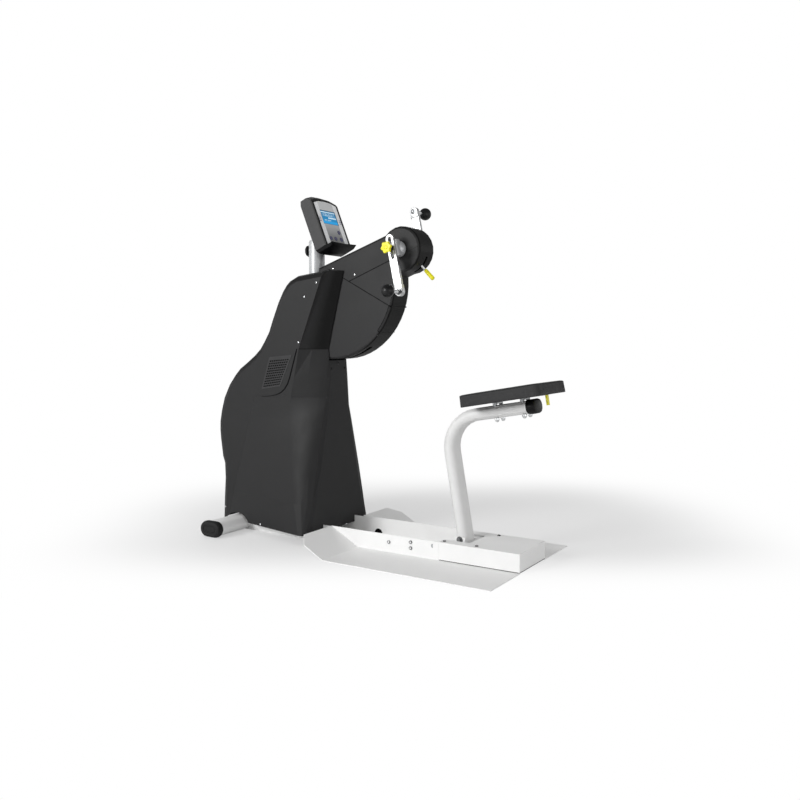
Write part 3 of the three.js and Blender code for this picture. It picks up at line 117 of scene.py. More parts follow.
class ErgoSizes(bpy.types.PropertyGroup):
    """Sizes that a user may change."""
    edge: length("Edge", "Rounding of moulded and bent edges", 0.8)
    turned_steps: IntProperty(name="Turned steps", description="Sides of a turned piece", default=56, min=12)
    ball: length("Ball", "Radius of a ball grip", 27)
    bar_width: length("Bar width", "Width of a crank bar", 37)
    bar_thick: length("Bar thickness", "Thickness of a crank bar", 16)
    star: length("Star", "Radius of a star knob over its lobes", 25)
    star_lobes: IntProperty(name="Star lobes", description="Lobes of a star knob", default=6, min=3)
    pad_corner: length("Pad corner", "Radius of the seat pad's corners", 24)
    pad_swell: length("Pad swell", "How far the pad's cover may swell", 1.6)


class ErgoColours(bpy.types.PropertyGroup):
    """Colours that a user may change."""
    coat: tint("White coat", "Powder coat of the floor frame and post", 0.87, 0.87, 0.865)
    housing: tint("Housing", "Textured housing plastic", 0.0185, 0.0185, 0.019)
    black: tint("Black plastic", "Caps, knobs and trays", 0.0045, 0.0045, 0.005)
    ball: tint("Ball black", "Polished ball grips", 0.004, 0.004, 0.0045)
    shell: tint("Console shell", "Sides of the console", 0.024, 0.024, 0.025)
    aluminium: tint("Aluminium", "Crank bars", 0.64, 0.645, 0.65)
    chrome: tint("Chrome", "Plated rods and screws", 0.78, 0.79, 0.80)
    silver: tint("Silver paint", "Mast paint and cast hubs", 0.52, 0.53, 0.54)
    yellow: tint("Yellow", "Star knobs and levers", 0.80, 0.74, 0.003)
    face: tint("Console face", "Printed film of the console", 0.90, 0.91, 0.92)
    screen: tint("Screen", "Lit background of the display", 0.012, 0.23, 0.49)
    key: tint("Keys", "Round keys", 0.10, 0.10, 0.19)
    seat: tint("Seat cover", "Grained vinyl of the seat", 0.046, 0.046, 0.047)
    rubber: tint("Rubber", "Feet and belts", 0.016, 0.016, 0.016)
    steel: tint("Steel", "Turned and welded steel", 0.45, 0.46, 0.47)
    copper: tint("Brake", "Plated brake block", 0.30, 0.13, 0.07)
    board: tint("Board", "Stained board under the pad", 0.020, 0.019, 0.018)


class ErgoStudio(bpy.types.PropertyGroup):
    """Camera, lamps and floor."""
    camera: FloatVectorProperty(name="Camera", description="Place of the camera", subtype="TRANSLATION",
                                default=(2.03865, -3.0411, 0.9306))
    turn: number("Turn", "Turn of the camera round the upright", math.radians(32.2567), subtype="ANGLE")
    pitch: number("Pitch", "How far the camera looks down", math.radians(4.5837), subtype="ANGLE")
    lens: number("Lens", "Focal length in millimetres", 37.444)
    key: number("Key", "Power of the main lamp", 205.0, subtype="POWER")
    fill: number("Fill", "Power of the back lamp; the side lamp has 2.4 times as much", 8.0, subtype="POWER")
    sky: number("Sky", "Strength of the room light on the object", 0.74)
    floor: tint("Floor", "Colour of the floor", 0.86, 0.86, 0.86)


def sizes():
    return bpy.context.scene.ergo_sizes


def put(thing, **values):
    """Sets fields of anything by their names."""
    for key, value in values.items():
        setattr(thing, key, value)
    return thing


def shown(name, data):
    """A new object in the scene."""
    made = bpy.data.objects.new(name, data)
    bpy.context.collection.objects.link(made)
    return made


# Node trees


def feed(tree, socket, value):
    """Links an output to a socket, or sets the socket's own value."""
    if isinstance(value, bpy.types.NodeSocket):
        tree.links.new(value, socket)
    else:
        socket.default_value = value


def give(tree, made, **values):
    """Feeds the inputs of a node by their names."""
    for key, value in values.items():
        feed(tree, made.inputs[key.replace("_", " ")], value)
    return made


def node(tree, kind, **values):
    """A shader node; a value sets the field of that name, or else feeds the input of that name."""
    made = tree.nodes.new("ShaderNode" + kind)
    for key, value in values.items():
        if hasattr(made, key):
            setattr(made, key, value)
        else:
            give(tree, made, **{key: value})
    return made


def ramp(tree, source, low, high, out_low=0.0, out_high=1.0):
    """Maps low…high of a value to out_low…out_high, smoothly."""
    return node(tree, "MapRange", interpolation_type="SMOOTHSTEP", clamp=True, Value=source,
                From_Min=low, From_Max=high, To_Min=out_low, To_Max=out_high).outputs["Result"]


def maths(tree, operation, *values, kind="Math", output=0):
    """One step of sums on values or outputs."""
    made = node(tree, kind, operation=operation)
    for socket, value in zip(made.inputs, values):
        feed(tree, socket, value)
    return made.outputs[output]


def times(tree, first, *others):
    """Product of values."""
    for other in others:
        first = maths(tree, "MULTIPLY", first, other)
    return first


def along(tree, vector, direction):
    """How far a vector reaches along a direction."""
    return maths(tree, "DOT_PRODUCT", vector, direction, kind="VectorMath", output=1)


def split(tree, vector):
    """The three numbers of a vector."""
    return node(tree, "SeparateXYZ", Vector=vector).outputs


def mixed(tree, factor, first, second):
    """Mix of two colours or outputs by a factor."""
    made = node(tree, "Mix", data_type="RGBA")
    for index, value in ((0, factor), (6, first), (7, second)):
        feed(tree, made.inputs[index], (*value, 1.0) if isinstance(value, tuple) else value)
    return made.outputs[2]


def layered(tree, colour, factor, low, high, *layers):
    """A colour that drifts between two shades of itself by a factor, under further (factor, shade) layers."""
    base = mixed(tree, factor, shade(colour, low), shade(colour, high))
    for factor, amount in layers:
        base = mixed(tree, factor, base, shade(colour, amount))
    return base


def noise(tree, vector, scale, detail, roughness=0.5):
    made = node(tree, "TexNoise", Vector=vector, Scale=scale, Detail=detail, Roughness=roughness)
    return made.outputs["Fac"]


def bumped(tree, height, strength, distance):
    return node(tree, "Bump", Height=height, Strength=strength, Distance=distance).outputs["Normal"]


# Shared surface effects, as node groups


def new_group(name, inputs, outputs):
    """An empty node group: a vector and numbers go in, numbers and a normal come out."""
    group = bpy.data.node_groups.new(name, "ShaderNodeTree")
    add = group.interface.new_socket
    add("Vector", in_out="INPUT", socket_type="NodeSocketVector")
    for label, value in inputs.items():
        add(label, in_out="INPUT", socket_type="NodeSocketFloat").default_value = value
    for label in outputs:
        add(label, in_out="OUTPUT", socket_type="NodeSocketFloat")
    add("Normal", in_out="OUTPUT", socket_type="NodeSocketVector")
    return group, group.nodes.new("NodeGroupInput").outputs, group.nodes.new("NodeGroupOutput")


def grain_group():
    """Moulded or sprayed surface: fine bumps, slow tone changes and rubbed corners."""
    group, given, out = new_group("Moulded grain", {"Grain": 900.0, "Depth": 0.25},
                                  ("Tone", "Slow", "Corner"))
    fine = noise(group, given["Vector"], given["Grain"], 3.0, 0.55)
    slow = noise(group, given["Vector"], 7.0, 4.0, 0.6)
    corners = ramp(group, node(group, "NewGeometry").outputs["Pointiness"], 0.53, 0.62)
    give(group, out, Tone=ramp(group, fine, 0.3, 0.7), Slow=ramp(group, slow, 0.35, 0.65),
         Corner=times(group, corners, ramp(group, slow, 0.4, 0.6, 0.35, 1.0)),
         Normal=bumped(group, fine, given["Depth"], 0.0004))
    return group


def brushed_group():
    """Brushed or drawn metal: long fine scratches along one direction."""
    group, given, out = new_group("Brushed metal", {"Depth": 0.12}, ("Tone", "Slow"))
    stretch = node(group, "Mapping", Vector=given["Vector"], Scale=(1600.0, 1600.0, 30.0)).outputs["Vector"]
    lines = noise(group, stretch, 1.0, 4.0, 0.7)
    give(group, out, Tone=ramp(group, lines, 0.3, 0.7), Normal=bumped(group, lines, given["Depth"], 0.0001),
         Slow=ramp(group, noise(group, given["Vector"], 22.0, 3.0), 0.35, 0.65))
    return group


def leather_group():
    """Grained vinyl: small cells with soft valleys and a slow sheen change."""
    group, given, out = new_group("Grained vinyl", {"Cell": 520.0}, ("Valley", "Slow"))
    warp = node(group, "TexNoise", Vector=given["Vector"], Scale=180.0, Detail=2.0).outputs["Color"]
    shifted = maths(group, "MULTIPLY_ADD", warp, (0.0016, 0.0016, 0.0016), given["Vector"], kind="VectorMath")
    cells = node(group, "TexVoronoi", feature="DISTANCE_TO_EDGE", Vector=shifted, Scale=given["Cell"])
    valley = ramp(group, cells.outputs["Distance"], 0.0, 0.16)
    give(group, out, Valley=valley, Normal=bumped(group, valley, 0.35, 0.0005),
         Slow=ramp(group, noise(group, given["Vector"], 9.0, 3.0), 0.35, 0.65))
    return group


EFFECTS = {"grain": grain_group, "brushed": brushed_group, "leather": leather_group}
GROUPS = {}
MATERIALS = {}


def effect(tree, name, where, **values):
    """Puts a shared effect into a material; each effect is made once."""
    if name not in GROUPS:
        GROUPS[name] = EFFECTS[name]()
    made = put(tree.nodes.new("ShaderNodeGroup"), node_tree=GROUPS[name])
    return give(tree, made, Vector=where, **values).outputs


def blank(name, roughness, **fixed):
    """A new material with one Principled shader, whose own sockets take the fixed values."""
    made = MATERIALS[name] = bpy.data.materials.new(name)
    made.use_nodes = True
    tree = made.node_tree
    shader = give(tree, tree.nodes["Principled BSDF"], Roughness=roughness, **fixed)
    return tree, shader, node(tree, "TexCoord").outputs["Object"]


def coated(tree, shader, surface, base, *roughness):
    """Feeds a shader its colour and bumps, and a roughness that drifts between two values where given."""
    give(tree, shader, Base_Color=base, Normal=surface["Normal"])
    if roughness:
        give(tree, shader, Roughness=ramp(tree, surface["Slow"], 0, 1, *roughness))


def shade(colour, factor):
    return tuple(min(channel * factor, 1.0) for channel in colour[:3])


def turned_to(tree, where, direction):
    """How far the surface's own normal points along a direction."""
    return along(tree, where.node.outputs["Normal"], direction)


# Finishes


def moulded(name, colour, roughness, grain=900.0, depth=0.25, rub=1.7, spread=0.12, shine=0.5, metallic=0.0):
    """Moulded plastic, rubber, paint or powder coat."""
    tree, shader, where = blank(name, roughness, Specular_IOR_Level=shine, Metallic=metallic)
    surface = effect(tree, "grain", where, Grain=grain, Depth=depth)
    base = layered(tree, colour, surface["Slow"], 1 - spread, 1 + spread,
                   (times(tree, surface["Tone"], 0.35), 1 + 2 * spread),
                   (times(tree, surface["Corner"], 0.6), rub))
    coated(tree, shader, surface, base, roughness - 0.05, roughness + 0.06)


def metal(name, colour, roughness, depth=0.12):
    """Brushed, turned or plated metal."""
    tree, shader, where = blank(name, roughness, Metallic=1.0)
    surface = effect(tree, "brushed", where, Depth=depth)
    base = layered(tree, colour, surface["Tone"], 0.93, 1.05, (times(tree, surface["Slow"], 0.5), 0.88))
    coated(tree, shader, surface, base, roughness * 0.8, roughness * 1.25)


def make_plain_materials(c):
    """Every finish that is even all over."""
    coat = dict(grain=1400.0, depth=0.06, rub=1.04, spread=0.015, shine=0.4)
    moulded("White powder coat", c.coat, 0.42, **coat)
    moulded("Grey coat", shade(c.coat, 0.84), 0.42, **coat)
    moulded("Black plastic", c.black, 0.4, grain=1300.0, depth=0.14, rub=2.2, shine=0.17)
    # Painted highlight: the grille takes the housing plastic made 1.7 times lighter, for light on its bars
    moulded("Vent plastic painted highlight", shade(c.housing, 1.7), 0.5, grain=1300.0, depth=0.10, rub=1.5, shine=0.2)
    moulded("Shadow black", shade(c.black, 0.4), 0.9, grain=500.0, depth=0.05, shine=0.05)
    moulded("Ball plastic", c.ball, 0.34, grain=300.0, depth=0.02, rub=1.2, shine=0.35)
    moulded("Yellow plastic", c.yellow, 0.36, grain=800.0, depth=0.06, rub=1.05, spread=0.03)
    moulded("Rubber", c.rubber, 0.7, grain=1000.0, depth=0.4, rub=2.0, shine=0.2)
    moulded("Key plastic", c.key, 0.4, grain=1500.0, depth=0.10, rub=1.3)
    moulded("Silver paint", c.silver, 0.38, grain=2200.0, depth=0.05, rub=1.05, spread=0.02, metallic=0.3)
    moulded("Cast aluminium", shade(c.silver, 1.3), 0.42, grain=1500.0, depth=0.10, rub=1.1, spread=0.03,
            metallic=0.55)
    moulded("Brake plating", c.copper, 0.4, grain=700.0, depth=0.2, metallic=0.8)
    metal("Bar aluminium", c.aluminium, 0.36, depth=0.03)
    metal("Turned aluminium", shade(c.aluminium, 0.8), 0.5, depth=0.04)
    metal("Bolt steel", shade(c.steel, 0.42), 0.3, depth=0.02)
    metal("Dark steel", shade(c.steel, 0.22), 0.3, depth=0.02)
    metal("Chrome", c.chrome, 0.12, depth=0.01)
    metal("Steel", c.steel, 0.38)


def make_housing(name, colour):
    """Textured housing plastic, with painted shade: rounded tops, rear edges and the faces beside the slot
    are darkened in its colour.
    """
    tree, shader, where = blank(name, 0.5, Specular_IOR_Level=0.2)
    surface = effect(tree, "grain", where, Grain=1100.0, Depth=0.22)
    _, across, height = split(tree, where)
    # Painted shade: faces that point up, and upper faces that point back, are darkened in the colour
    top = ramp(tree, turned_to(tree, where, (0, 0, 1)), 0.15, 0.33)
    rear = times(tree, ramp(tree, turned_to(tree, where, (-1, 0, 0)), 0.34, 0.42),
                 ramp(tree, height, 0.45, 0.6))
    painted_shade_top_rear = times(tree, maths(tree, "MAXIMUM", top, rear), 0.9)
    # Painted shade: the faces beside the slot's top are darkened much more, the nearer they are to the slot
    painted_shade_beside_slot = times(tree, ramp(tree, maths(tree, "ABSOLUTE", across), 0.085, 0.135, 1.0, 0.1),
                      ramp(tree, height, 0.858, 0.866),
                      ramp(tree, turned_to(tree, where, (1, 0, 0)), 0.35, 0.5))
    base = layered(tree, colour, surface["Slow"], 0.96, 1.04, (times(tree, surface["Tone"], 0.3), 1.25),
                   (painted_shade_top_rear, 0.3), (painted_shade_beside_slot, 0.1))
    coated(tree, shader, surface, base, 0.49, 0.53)


def make_seat_cover(colour):
    """Grained vinyl, with painted shade that makes it darker where it faces up."""
    tree, shader, where = blank("Padded vinyl", 0.7, Sheen_Weight=0.02, Sheen_Roughness=0.5,
                                Specular_IOR_Level=0.18)
    surface = effect(tree, "leather", where)
    # The last layer is painted shade: the cover darkens where it faces up
    base = layered(tree, colour, surface["Valley"], 0.55, 1.12, (times(tree, surface["Slow"], 0.2), 0.88),
                   (ramp(tree, turned_to(tree, where, (0, 0, 1)), 0.4, 0.9), 0.5))
    coated(tree, shader, surface, base, 0.66, 0.74)


def make_board(colour):
    """Stained wood with faint rings."""
    tree, shader, where = blank("Board", 0.65)
    rings = node(tree, "TexWave", Vector=where, Scale=9.0, Distortion=6.0, Detail=3.0).outputs["Fac"]
    give(tree, shader, Base_Color=layered(tree, colour, rings, 0.75, 1.15),
         Normal=bumped(tree, rings, 0.2, 0.0006))


def face_coordinates(tree, where):
    """Object coordinates turned into the console's own: out of the face, across it and up it."""
    own = node(tree, "Mapping", vector_type="TEXTURE", Vector=where, Location=HINGE,
               Rotation=(0.0, -CONSOLE_TILT, 0.0))
    return split(tree, own.outputs["Vector"])


def window(tree, own, low_y, high_y, low_z, high_z, soft=0.3):
    """1 inside a rectangle of the face, 0 outside; in millimetres from the middle of the face's top."""
    inside = [ramp(tree, place, (edge - soft) * MM, (edge + soft) * MM, *ends)
              for place, low, high in ((own[1], low_y, high_y), (own[2], FACE_TOP + low_z, FACE_TOP + high_z))
              for edge, ends in ((low, (0, 1)), (high, (1, 0)))]
    return times(tree, *inside)


def make_console_shell(colour):
    """Console shell: grey sides, with a black hood and a black frame round the face."""
    tree, shader, where = blank("Console plastic", 0.42, Specular_IOR_Level=0.3)
    surface = effect(tree, "grain", where, Grain=1300.0, Depth=0.12)
    forward, _, _ = face_coordinates(tree, where)
    upwards = (-math.sin(CONSOLE_TILT), 0, math.cos(CONSOLE_TILT))
    hood = ramp(tree, turned_to(tree, where, upwards), 0.12, 0.3)
    rim = ramp(tree, forward, (FACE_X - 9) * MM, (FACE_X - 6) * MM)
    coated(tree, shader, surface, layered(tree, colour, surface["Slow"], 0.94, 1.06,
                                          (maths(tree, "MAXIMUM", hood, rim), 0.06)))


def make_face_film(colour):
    """Printed film: pale sides, a darker middle panel, and dark frames round the screen and the edge."""
    tree, shader, where = blank("Face film", 0.36, Specular_IOR_Level=0.3)
    own = face_coordinates(tree, where)
    surface = effect(tree, "grain", where, Grain=1500.0, Depth=0.08)
    base = layered(tree, colour, surface["Slow"], 0.97, 1.03)
    deep = ramp(tree, own[2], (FACE_TOP - 200) * MM, (FACE_TOP - 60) * MM, 1.0, 0.0)
    base = mixed(tree, window(tree, own, -53, 53, -213, 12), base, layered(tree, colour, deep, 0.78, 0.30))
    base = mixed(tree, window(tree, own, -56, 56, -110, -41), base, shade(colour, 0.30))
    half = low_high("console_face", MM)[1].y - 9
    base = mixed(tree, window(tree, own, -half, half, -400, 200, 0.6), shade(colour, 0.006), base)
    coated(tree, shader, surface, base)


def make_screen(colour):
    """Lit display: two bands and two rows of plain light marks, with no lettering."""
    tree, shader, where = blank("Screen", 0.12, Specular_IOR_Level=0.6)
    own = face_coordinates(tree, where)
    light = (0.62, 0.82, 0.95)
    base = layered(tree, colour, ramp(tree, own[2], (FACE_TOP - 108) * MM, (FACE_TOP - 43) * MM), 1.25, 0.8)
    flat = node(tree, "CombineXYZ", X=own[1], Y=own[2]).outputs["Vector"]
    marks = node(tree, "TexBrick", Vector=flat, Scale=1.0, Mortar_Size=0.0009, Brick_Width=0.0052,
                 Row_Height=0.0075, Color1=(1, 1, 1, 1), Color2=(0.2, 0.2, 0.2, 1), Mortar=(0, 0, 0, 1))
    for row in ((-46, 44, -70, -54), (-40, 6, -96, -85)):
        base = mixed(tree, times(tree, marks.outputs["Color"], window(tree, own, *row)), base, light)
    for band in ((-52, 52, -52, -47), (-8, 50, -80, -73)):
        base = mixed(tree, window(tree, own, *band), base, light)
    base = mixed(tree, window(tree, own, -52, 52, -105, -94), base, shade(colour, 1.6))
    give(tree, shader, Base_Color=base, Emission_Color=base, Emission_Strength=0.35)


FINISH = {
    "white_powder": "White powder coat", "grey_housing": "Housing plastic", "black_plastic": "Black plastic",
    "gloss_black": "Ball plastic", "bright_aluminium": "Turned aluminium", "silver_paint": "Silver paint",
    "chrome": "Chrome", "steel": "Steel", "yellow_plastic": "Yellow plastic", "seat_cover": "Padded vinyl",
    "pale_face": "Face film", "screen": "Screen", "key": "Key plastic", "rubber": "Rubber", "rotor": "Steel",
    "magnet": "Brake plating", "board": "Board",
}


# Shapes: every length that goes into these is in millimetres


def merged(name):
    """A copy of a frame node as one joined skin, with its flat faces whole."""
    bm = bmesh.new()
    bm.from_mesh(frame["nodes"][name].data)
    bmesh.ops.remove_doubles(bm, verts=bm.verts, dist=0.005 * MM)
    bmesh.ops.dissolve_limit(bm, angle_limit=math.radians(0.5), verts=bm.verts, edges=bm.edges)
    return bm


def placed(bm, matrix):
    bmesh.ops.transform(bm, matrix=matrix, verts=bm.verts)
    return bm


def only(kind, items):
    return [item for item in items if isinstance(item, kind)]


def soften(bm, width, segments=3, angle=30.0):
    """Rounds every edge sharper than angle."""
    sharp = [e for e in bm.edges if len(e.link_faces) == 2 and e.calc_face_angle(0.0) > math.radians(angle)]
    bmesh.ops.bevel(bm, geom=sharp, offset=width * MM, offset_type="OFFSET", segments=segments, profile=0.5,
                    affect="EDGES", clamp_overlap=True, loop_slide=True, material=-1)
    return bm


def turned(profile, matrix, steps=None, edge=0.0):
    """A turned body from (radius, height) pairs; its axis is the matrix's z."""
    bm = bmesh.new()
    verts = [bm.verts.new((radius * MM, 0.0, height * MM)) for radius, height in profile]
    edges = [bm.edges.new(pair) for pair in zip(verts, verts[1:])]
    bmesh.ops.spin(bm, geom=verts + edges, cent=(0, 0, 0), axis=(0, 0, 1), angle=math.tau,
                   steps=steps or sizes().turned_steps, use_merge=True)
    bmesh.ops.remove_doubles(bm, verts=bm.verts, dist=0.002 * MM)
    bmesh.ops.recalc_face_normals(bm, faces=bm.faces)
    if edge:
        soften(bm, edge)
    return placed(bm, matrix)


def face_of(places):
    """One flat face through points in millimetres."""
    bm = bmesh.new()
    bm.faces.new([bm.verts.new(Vector(place) * MM) for place in places])
    return bm


def flat_face(corners, rounding=0.0, rounded=None):
    """A flat face in x and z, with its first corners or all of them rounded."""
    bm = face_of([(x, 0.0, z) for x, z in corners])
    if rounding:
        bmesh.ops.bevel(bm, geom=list(bm.verts)[:rounded], offset=rounding * MM, offset_type="OFFSET",
                        segments=12, profile=0.5, affect="VERTICES", clamp_overlap=True, material=-1)
    return bm


def rectangle(low_x, high_x, low_z, high_z):
    return [(low_x, low_z), (high_x, low_z), (high_x, high_z), (low_x, high_z)]


def half_round(x, z, radius, first, step):
    """A flat half circle from an angle on, in degrees; x from the seat end of the beam."""
    turns = [math.radians(turn) for turn in range(first, first + 181, step)]
    return flat_face([(SEAT_END + x + radius * math.cos(turn), z + radius * math.sin(turn))
                      for turn in turns])


def ribbon(path, widths):
    """A flat strip in x and z along a path of (x, z) points."""
    bm = bmesh.new()
    rows = []
    for i, (x, z) in enumerate(path):
        before, after = path[max(i - 1, 0)], path[min(i + 1, len(path) - 1)]
        step = Vector((after[0] - before[0], after[1] - before[1])).normalized() * widths[i] / 2
        rows.append([bm.verts.new(Vector((x - step.y * way, 0, z + step.x * way)) * MM) for way in (1, -1)])
    for (a, b), (c, d) in zip(rows, rows[1:]):
        bm.faces.new((a, b, d, c))
    return bm


def pulled(bm, x, y, z):
    """Pulls flat faces along a vector into closed bodies."""
    made = bmesh.ops.extrude_face_region(bm, geom=list(bm.faces), use_keep_orig=True)
    bmesh.ops.translate(bm, verts=only(bmesh.types.BMVert, made["geom"]), vec=Vector((x, y, z)) * MM)
    bmesh.ops.recalc_face_normals(bm, faces=bm.faces)
    return bm


def thickened(bm, start, end):
    """Pulls flat faces along y from start to end."""
    bmesh.ops.translate(bm, verts=bm.verts, vec=(0, start * MM, 0))
    return pulled(bm, 0, end - start, 0)


def on_wall(bm, sign, wall, under, over):
    """Lays flat faces on a side wall, from a little under its surface to a little over it."""
    return thickened(bm, sign * (wall - under), sign * (wall + over))


def block(size, centre):
    bm = bmesh.new()
    bmesh.ops.create_cube(bm, size=1.0)
    bmesh.ops.scale(bm, vec=Vector(size) * MM, verts=bm.verts)
    bmesh.ops.translate(bm, vec=Vector(centre) * MM, verts=bm.verts)
    return bm


def as_mesh(bm, name):
    """Turns a shape into a mesh."""
    mesh = bpy.data.meshes.new(name)
    bm.to_mesh(mesh)
    bm.free()
    return mesh


def joined(*parts):
    """Several shapes as one."""
    bm = parts[0]
    for part in parts[1:]:
        carrier = as_mesh(part, "carrier")
        bm.from_mesh(carrier)
        bpy.data.meshes.remove(carrier)
    return bm


def piece(bm, name, like, finish=None, sharp=32.0, bevel=0.0, edges=None, even=False, stands_for=True):
    """Makes a shape an object that moves with the body of a frame node, and stands for that node."""
    mesh = as_mesh(bm, name)
    mesh.materials.clear()
    mesh.materials.append(MATERIALS[finish or FINISH[SLOT[like]]])
    mesh.shade_smooth()
    mesh.set_sharp_from_angle(angle=math.radians(sharp))
    made = shown(name, mesh)
    if bevel:
        put(made.modifiers.new("Edge", "BEVEL"), width=bevel * MM, segments=2, limit_method="ANGLE",
            angle_limit=math.radians(edges or sharp), use_clamp_overlap=True, harden_normals=True)
    if even:
        made.modifiers.new("Even shading", "WEIGHTED_NORMAL").keep_sharp = True
    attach(made, BODY[like])
    if stands_for:
        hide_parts(like)
    return made


def refined(like, name, finish=None, **form):
    """A frame node's own shape under a new name, with soft edges or smooth shading."""
    return piece(merged(like), name, like, finish, **form)


def detail(bm, name, like, finish="Shadow black", bevel=0.0):
    """A small piece that moves with a frame node and stands beside it; by default a dark seam, or painted
    shade in a gap or hole.
    """
    return piece(bm, name, like, finish, bevel=bevel, stands_for=False)


def screw(name, like, place, normal, r=4.9, h=2.8, finish="Chrome"):
    """A domed screw head of radius r and height h with a round recess, over a plain head of the frame."""
    profile = [(0, -0.5), (r, -0.5), (r, h * 0.5), (r * 0.9, h * 0.8), (r * 0.68, h), (r * 0.45, h),
               (r * 0.40, h * 0.45), (0, h * 0.40)]
    detail(turned(profile, facing(spot(*place), normal), 28), name, like, finish)


def screws(name, like, places, normal, *form):
    """Screws of one kind, numbered from 1."""
    for count, place in enumerate(places, 1):
        screw("%s_%d" % (name, count), like, place, normal, *form)


def wall_screws(name, like, sign, wall, places, *form):
    """Screws of one kind at (x, z) places of a side wall."""
    screws(name, like, [(x, sign * wall, z) for x, z in places], (0, sign, 0), *form)


class ERGO_OT_materials(bpy.types.Operator):
    """Makes the finishes and gives each frame node its own."""
    bl_idname = "ergo.materials"
    bl_label = "Finishes"
    bl_options = {"REGISTER", "UNDO"}

    def execute(self, context):
        c = context.scene.ergo_colours
        make_plain_materials(c)
        make_housing("Housing plastic", c.housing)
        # Painted light: the arm's covers take the housing plastic made 1.05 times lighter, for the stronger
        # light higher up
        make_housing("Arm plastic painted lighter", shade(c.housing, 1.05))
        make_seat_cover(c.seat)
        make_board(c.board)
        make_console_shell(c.shell)
        make_face_film(c.face)
        make_screen(c.screen)
        for name, slot in SLOT.items():
            for mesh_slot in frame["nodes"][name].material_slots:
                mesh_slot.material = MATERIALS[FINISH[slot]]
        return {"FINISHED"}


class ERGO_OT_housing(bpy.types.Operator):
    """Builds the column's housing and shroud with its vent grille, dark seams and screws."""
    bl_idname = "ergo.housing"
    bl_label = "Housing"
    bl_options = {"REGISTER", "UNDO"}

    def execute(self, context):
        for name, sharp in (("housing_left", 19.0), ("housing_right", 19.0), ("front_shroud", 15.0)):
            refined(name, "smooth_" + name, sharp=sharp, bevel=1.1, edges=60, even=True)
        for side, sign in SIDES.items():
            self.grille(side, sign)
            self.seams(side, sign)
            wall_screws("side_screw_" + side, "housing_" + side, sign, HOUSING_SIDE,
                        ((-966, 1150.8), (-1033.8, 1090.5), (-1068.9, 889.9)))
        screws("front_screw", "front_shroud", [(-958.5, 0, 796.5), (-958.5, -49.6, 773), (-958.5, 49.6, 773)],
               (1, 0, 0.02), 4.9, 2.8, "Silver paint")
        for count, (side, sign) in enumerate(SIDES.items(), 1):
            for name, like, x, y, z, normal in (
                    ("foot", "front_shroud", -955.2, 52, 46.5, (1, 0, 0)),
                    ("low", "front_shroud", -1265.5, 193.4, 53.9, (-0.2, sign * 0.98, 0.1)),
                    ("rear", "housing_" + side, -1533, 140, 98.3, (-0.38, sign * 0.92, 0))):
                screw("%s_screw_%d" % (name, count), like, (x, sign * y, z), normal)
        return {"FINISHED"}

    def grille(self, side, sign):
        """The vent's pierced plate over a dark sheet of painted shade behind its holes."""
        def cuts(count, start, end, low, high):
            """Fractions at which the holes start and end, between the plate's two ends."""
            pitch = (1 - start - end) / count
            return [0.0, *(start + (i + part) * pitch for i in range(count) for part in (low, high)), 1.0]

        corners = [Vector((SEAT_END + x, z))
                   for x, z in ((-1240, 823), (-1108, 834), (-1177, 692), (-1289, 675))]
        across, down = cuts(9, 0.06, 0.06, 0.14, 0.86), cuts(11, 0.10, 0.036, 0.24, 0.76)
        bm = bmesh.new()
        grid = []
        for v in down:
            left, right = corners[0].lerp(corners[3], v), corners[1].lerp(corners[2], v)
            row = [left.lerp(right, u) for u in across]
            grid.append([bm.verts.new(Vector((p.x, 0, p.y)) * MM) for p in row])
        for j in range(len(down) - 1):
            for i in range(len(across) - 1):
                if not (i % 2 == 1 and j % 2 == 1):
                    bm.faces.new((grid[j][i], grid[j + 1][i], grid[j + 1][i + 1], grid[j][i + 1]))
        housing = "housing_" + side
        detail(on_wall(bm, sign, HOUSING_SIDE, 0.1, 1.1), "vent_grille_" + side, housing, "Vent plastic painted highlight")
        # Painted shade: a dark sheet just inside the wall, seen through the holes
        centre = sum(corners, Vector((0, 0))) / 4
        back = flat_face([centre.lerp(corner, 0.97) for corner in corners])
        detail(on_wall(back, sign, HOUSING_SIDE, 0.4, 0.2), "vent_shade_" + side, housing)

    def seams(self, side, sign):
        """The dark line between housing and shroud, and the short one beside the slot's top."""
        path = [(-1079, 861), (-1084, 847), (-1095.5, 811.5), (-1110.5, 766.4), (-1122.6, 730.1),
                (-1134.6, 702.7), (-1152.5, 679.5), (-1173.3, 662.9), (-1203.1, 651.2), (-1239, 644.3),
                (-1290, 640)]
        widths = [4.0, 6.0, 6.0, 6.0, 6.0, 6.0, 5.5, 5.0, 3.5, 2.4, 1.6]
        line = ribbon([(SEAT_END + x, z) for x, z in path], widths)
        detail(on_wall(line, sign, HOUSING_SIDE, 0.3, 0.35), "shadow_seam_" + side, "front_shroud")
        out = Vector((0.6, sign * 0.8, 0)) * 0.5
        corners = [Vector((SEAT_END + x, sign * y, z)) + out for x, y, z in (
            (-1068.5, HOUSING_SIDE, 860), (-962.7, 66, 860), (-962.7, 66, 862), (-1068.5, HOUSING_SIDE, 862))]
        detail(pulled(face_of(corners), *(-3 * out)), "top_seam_" + side, "front_shroud")


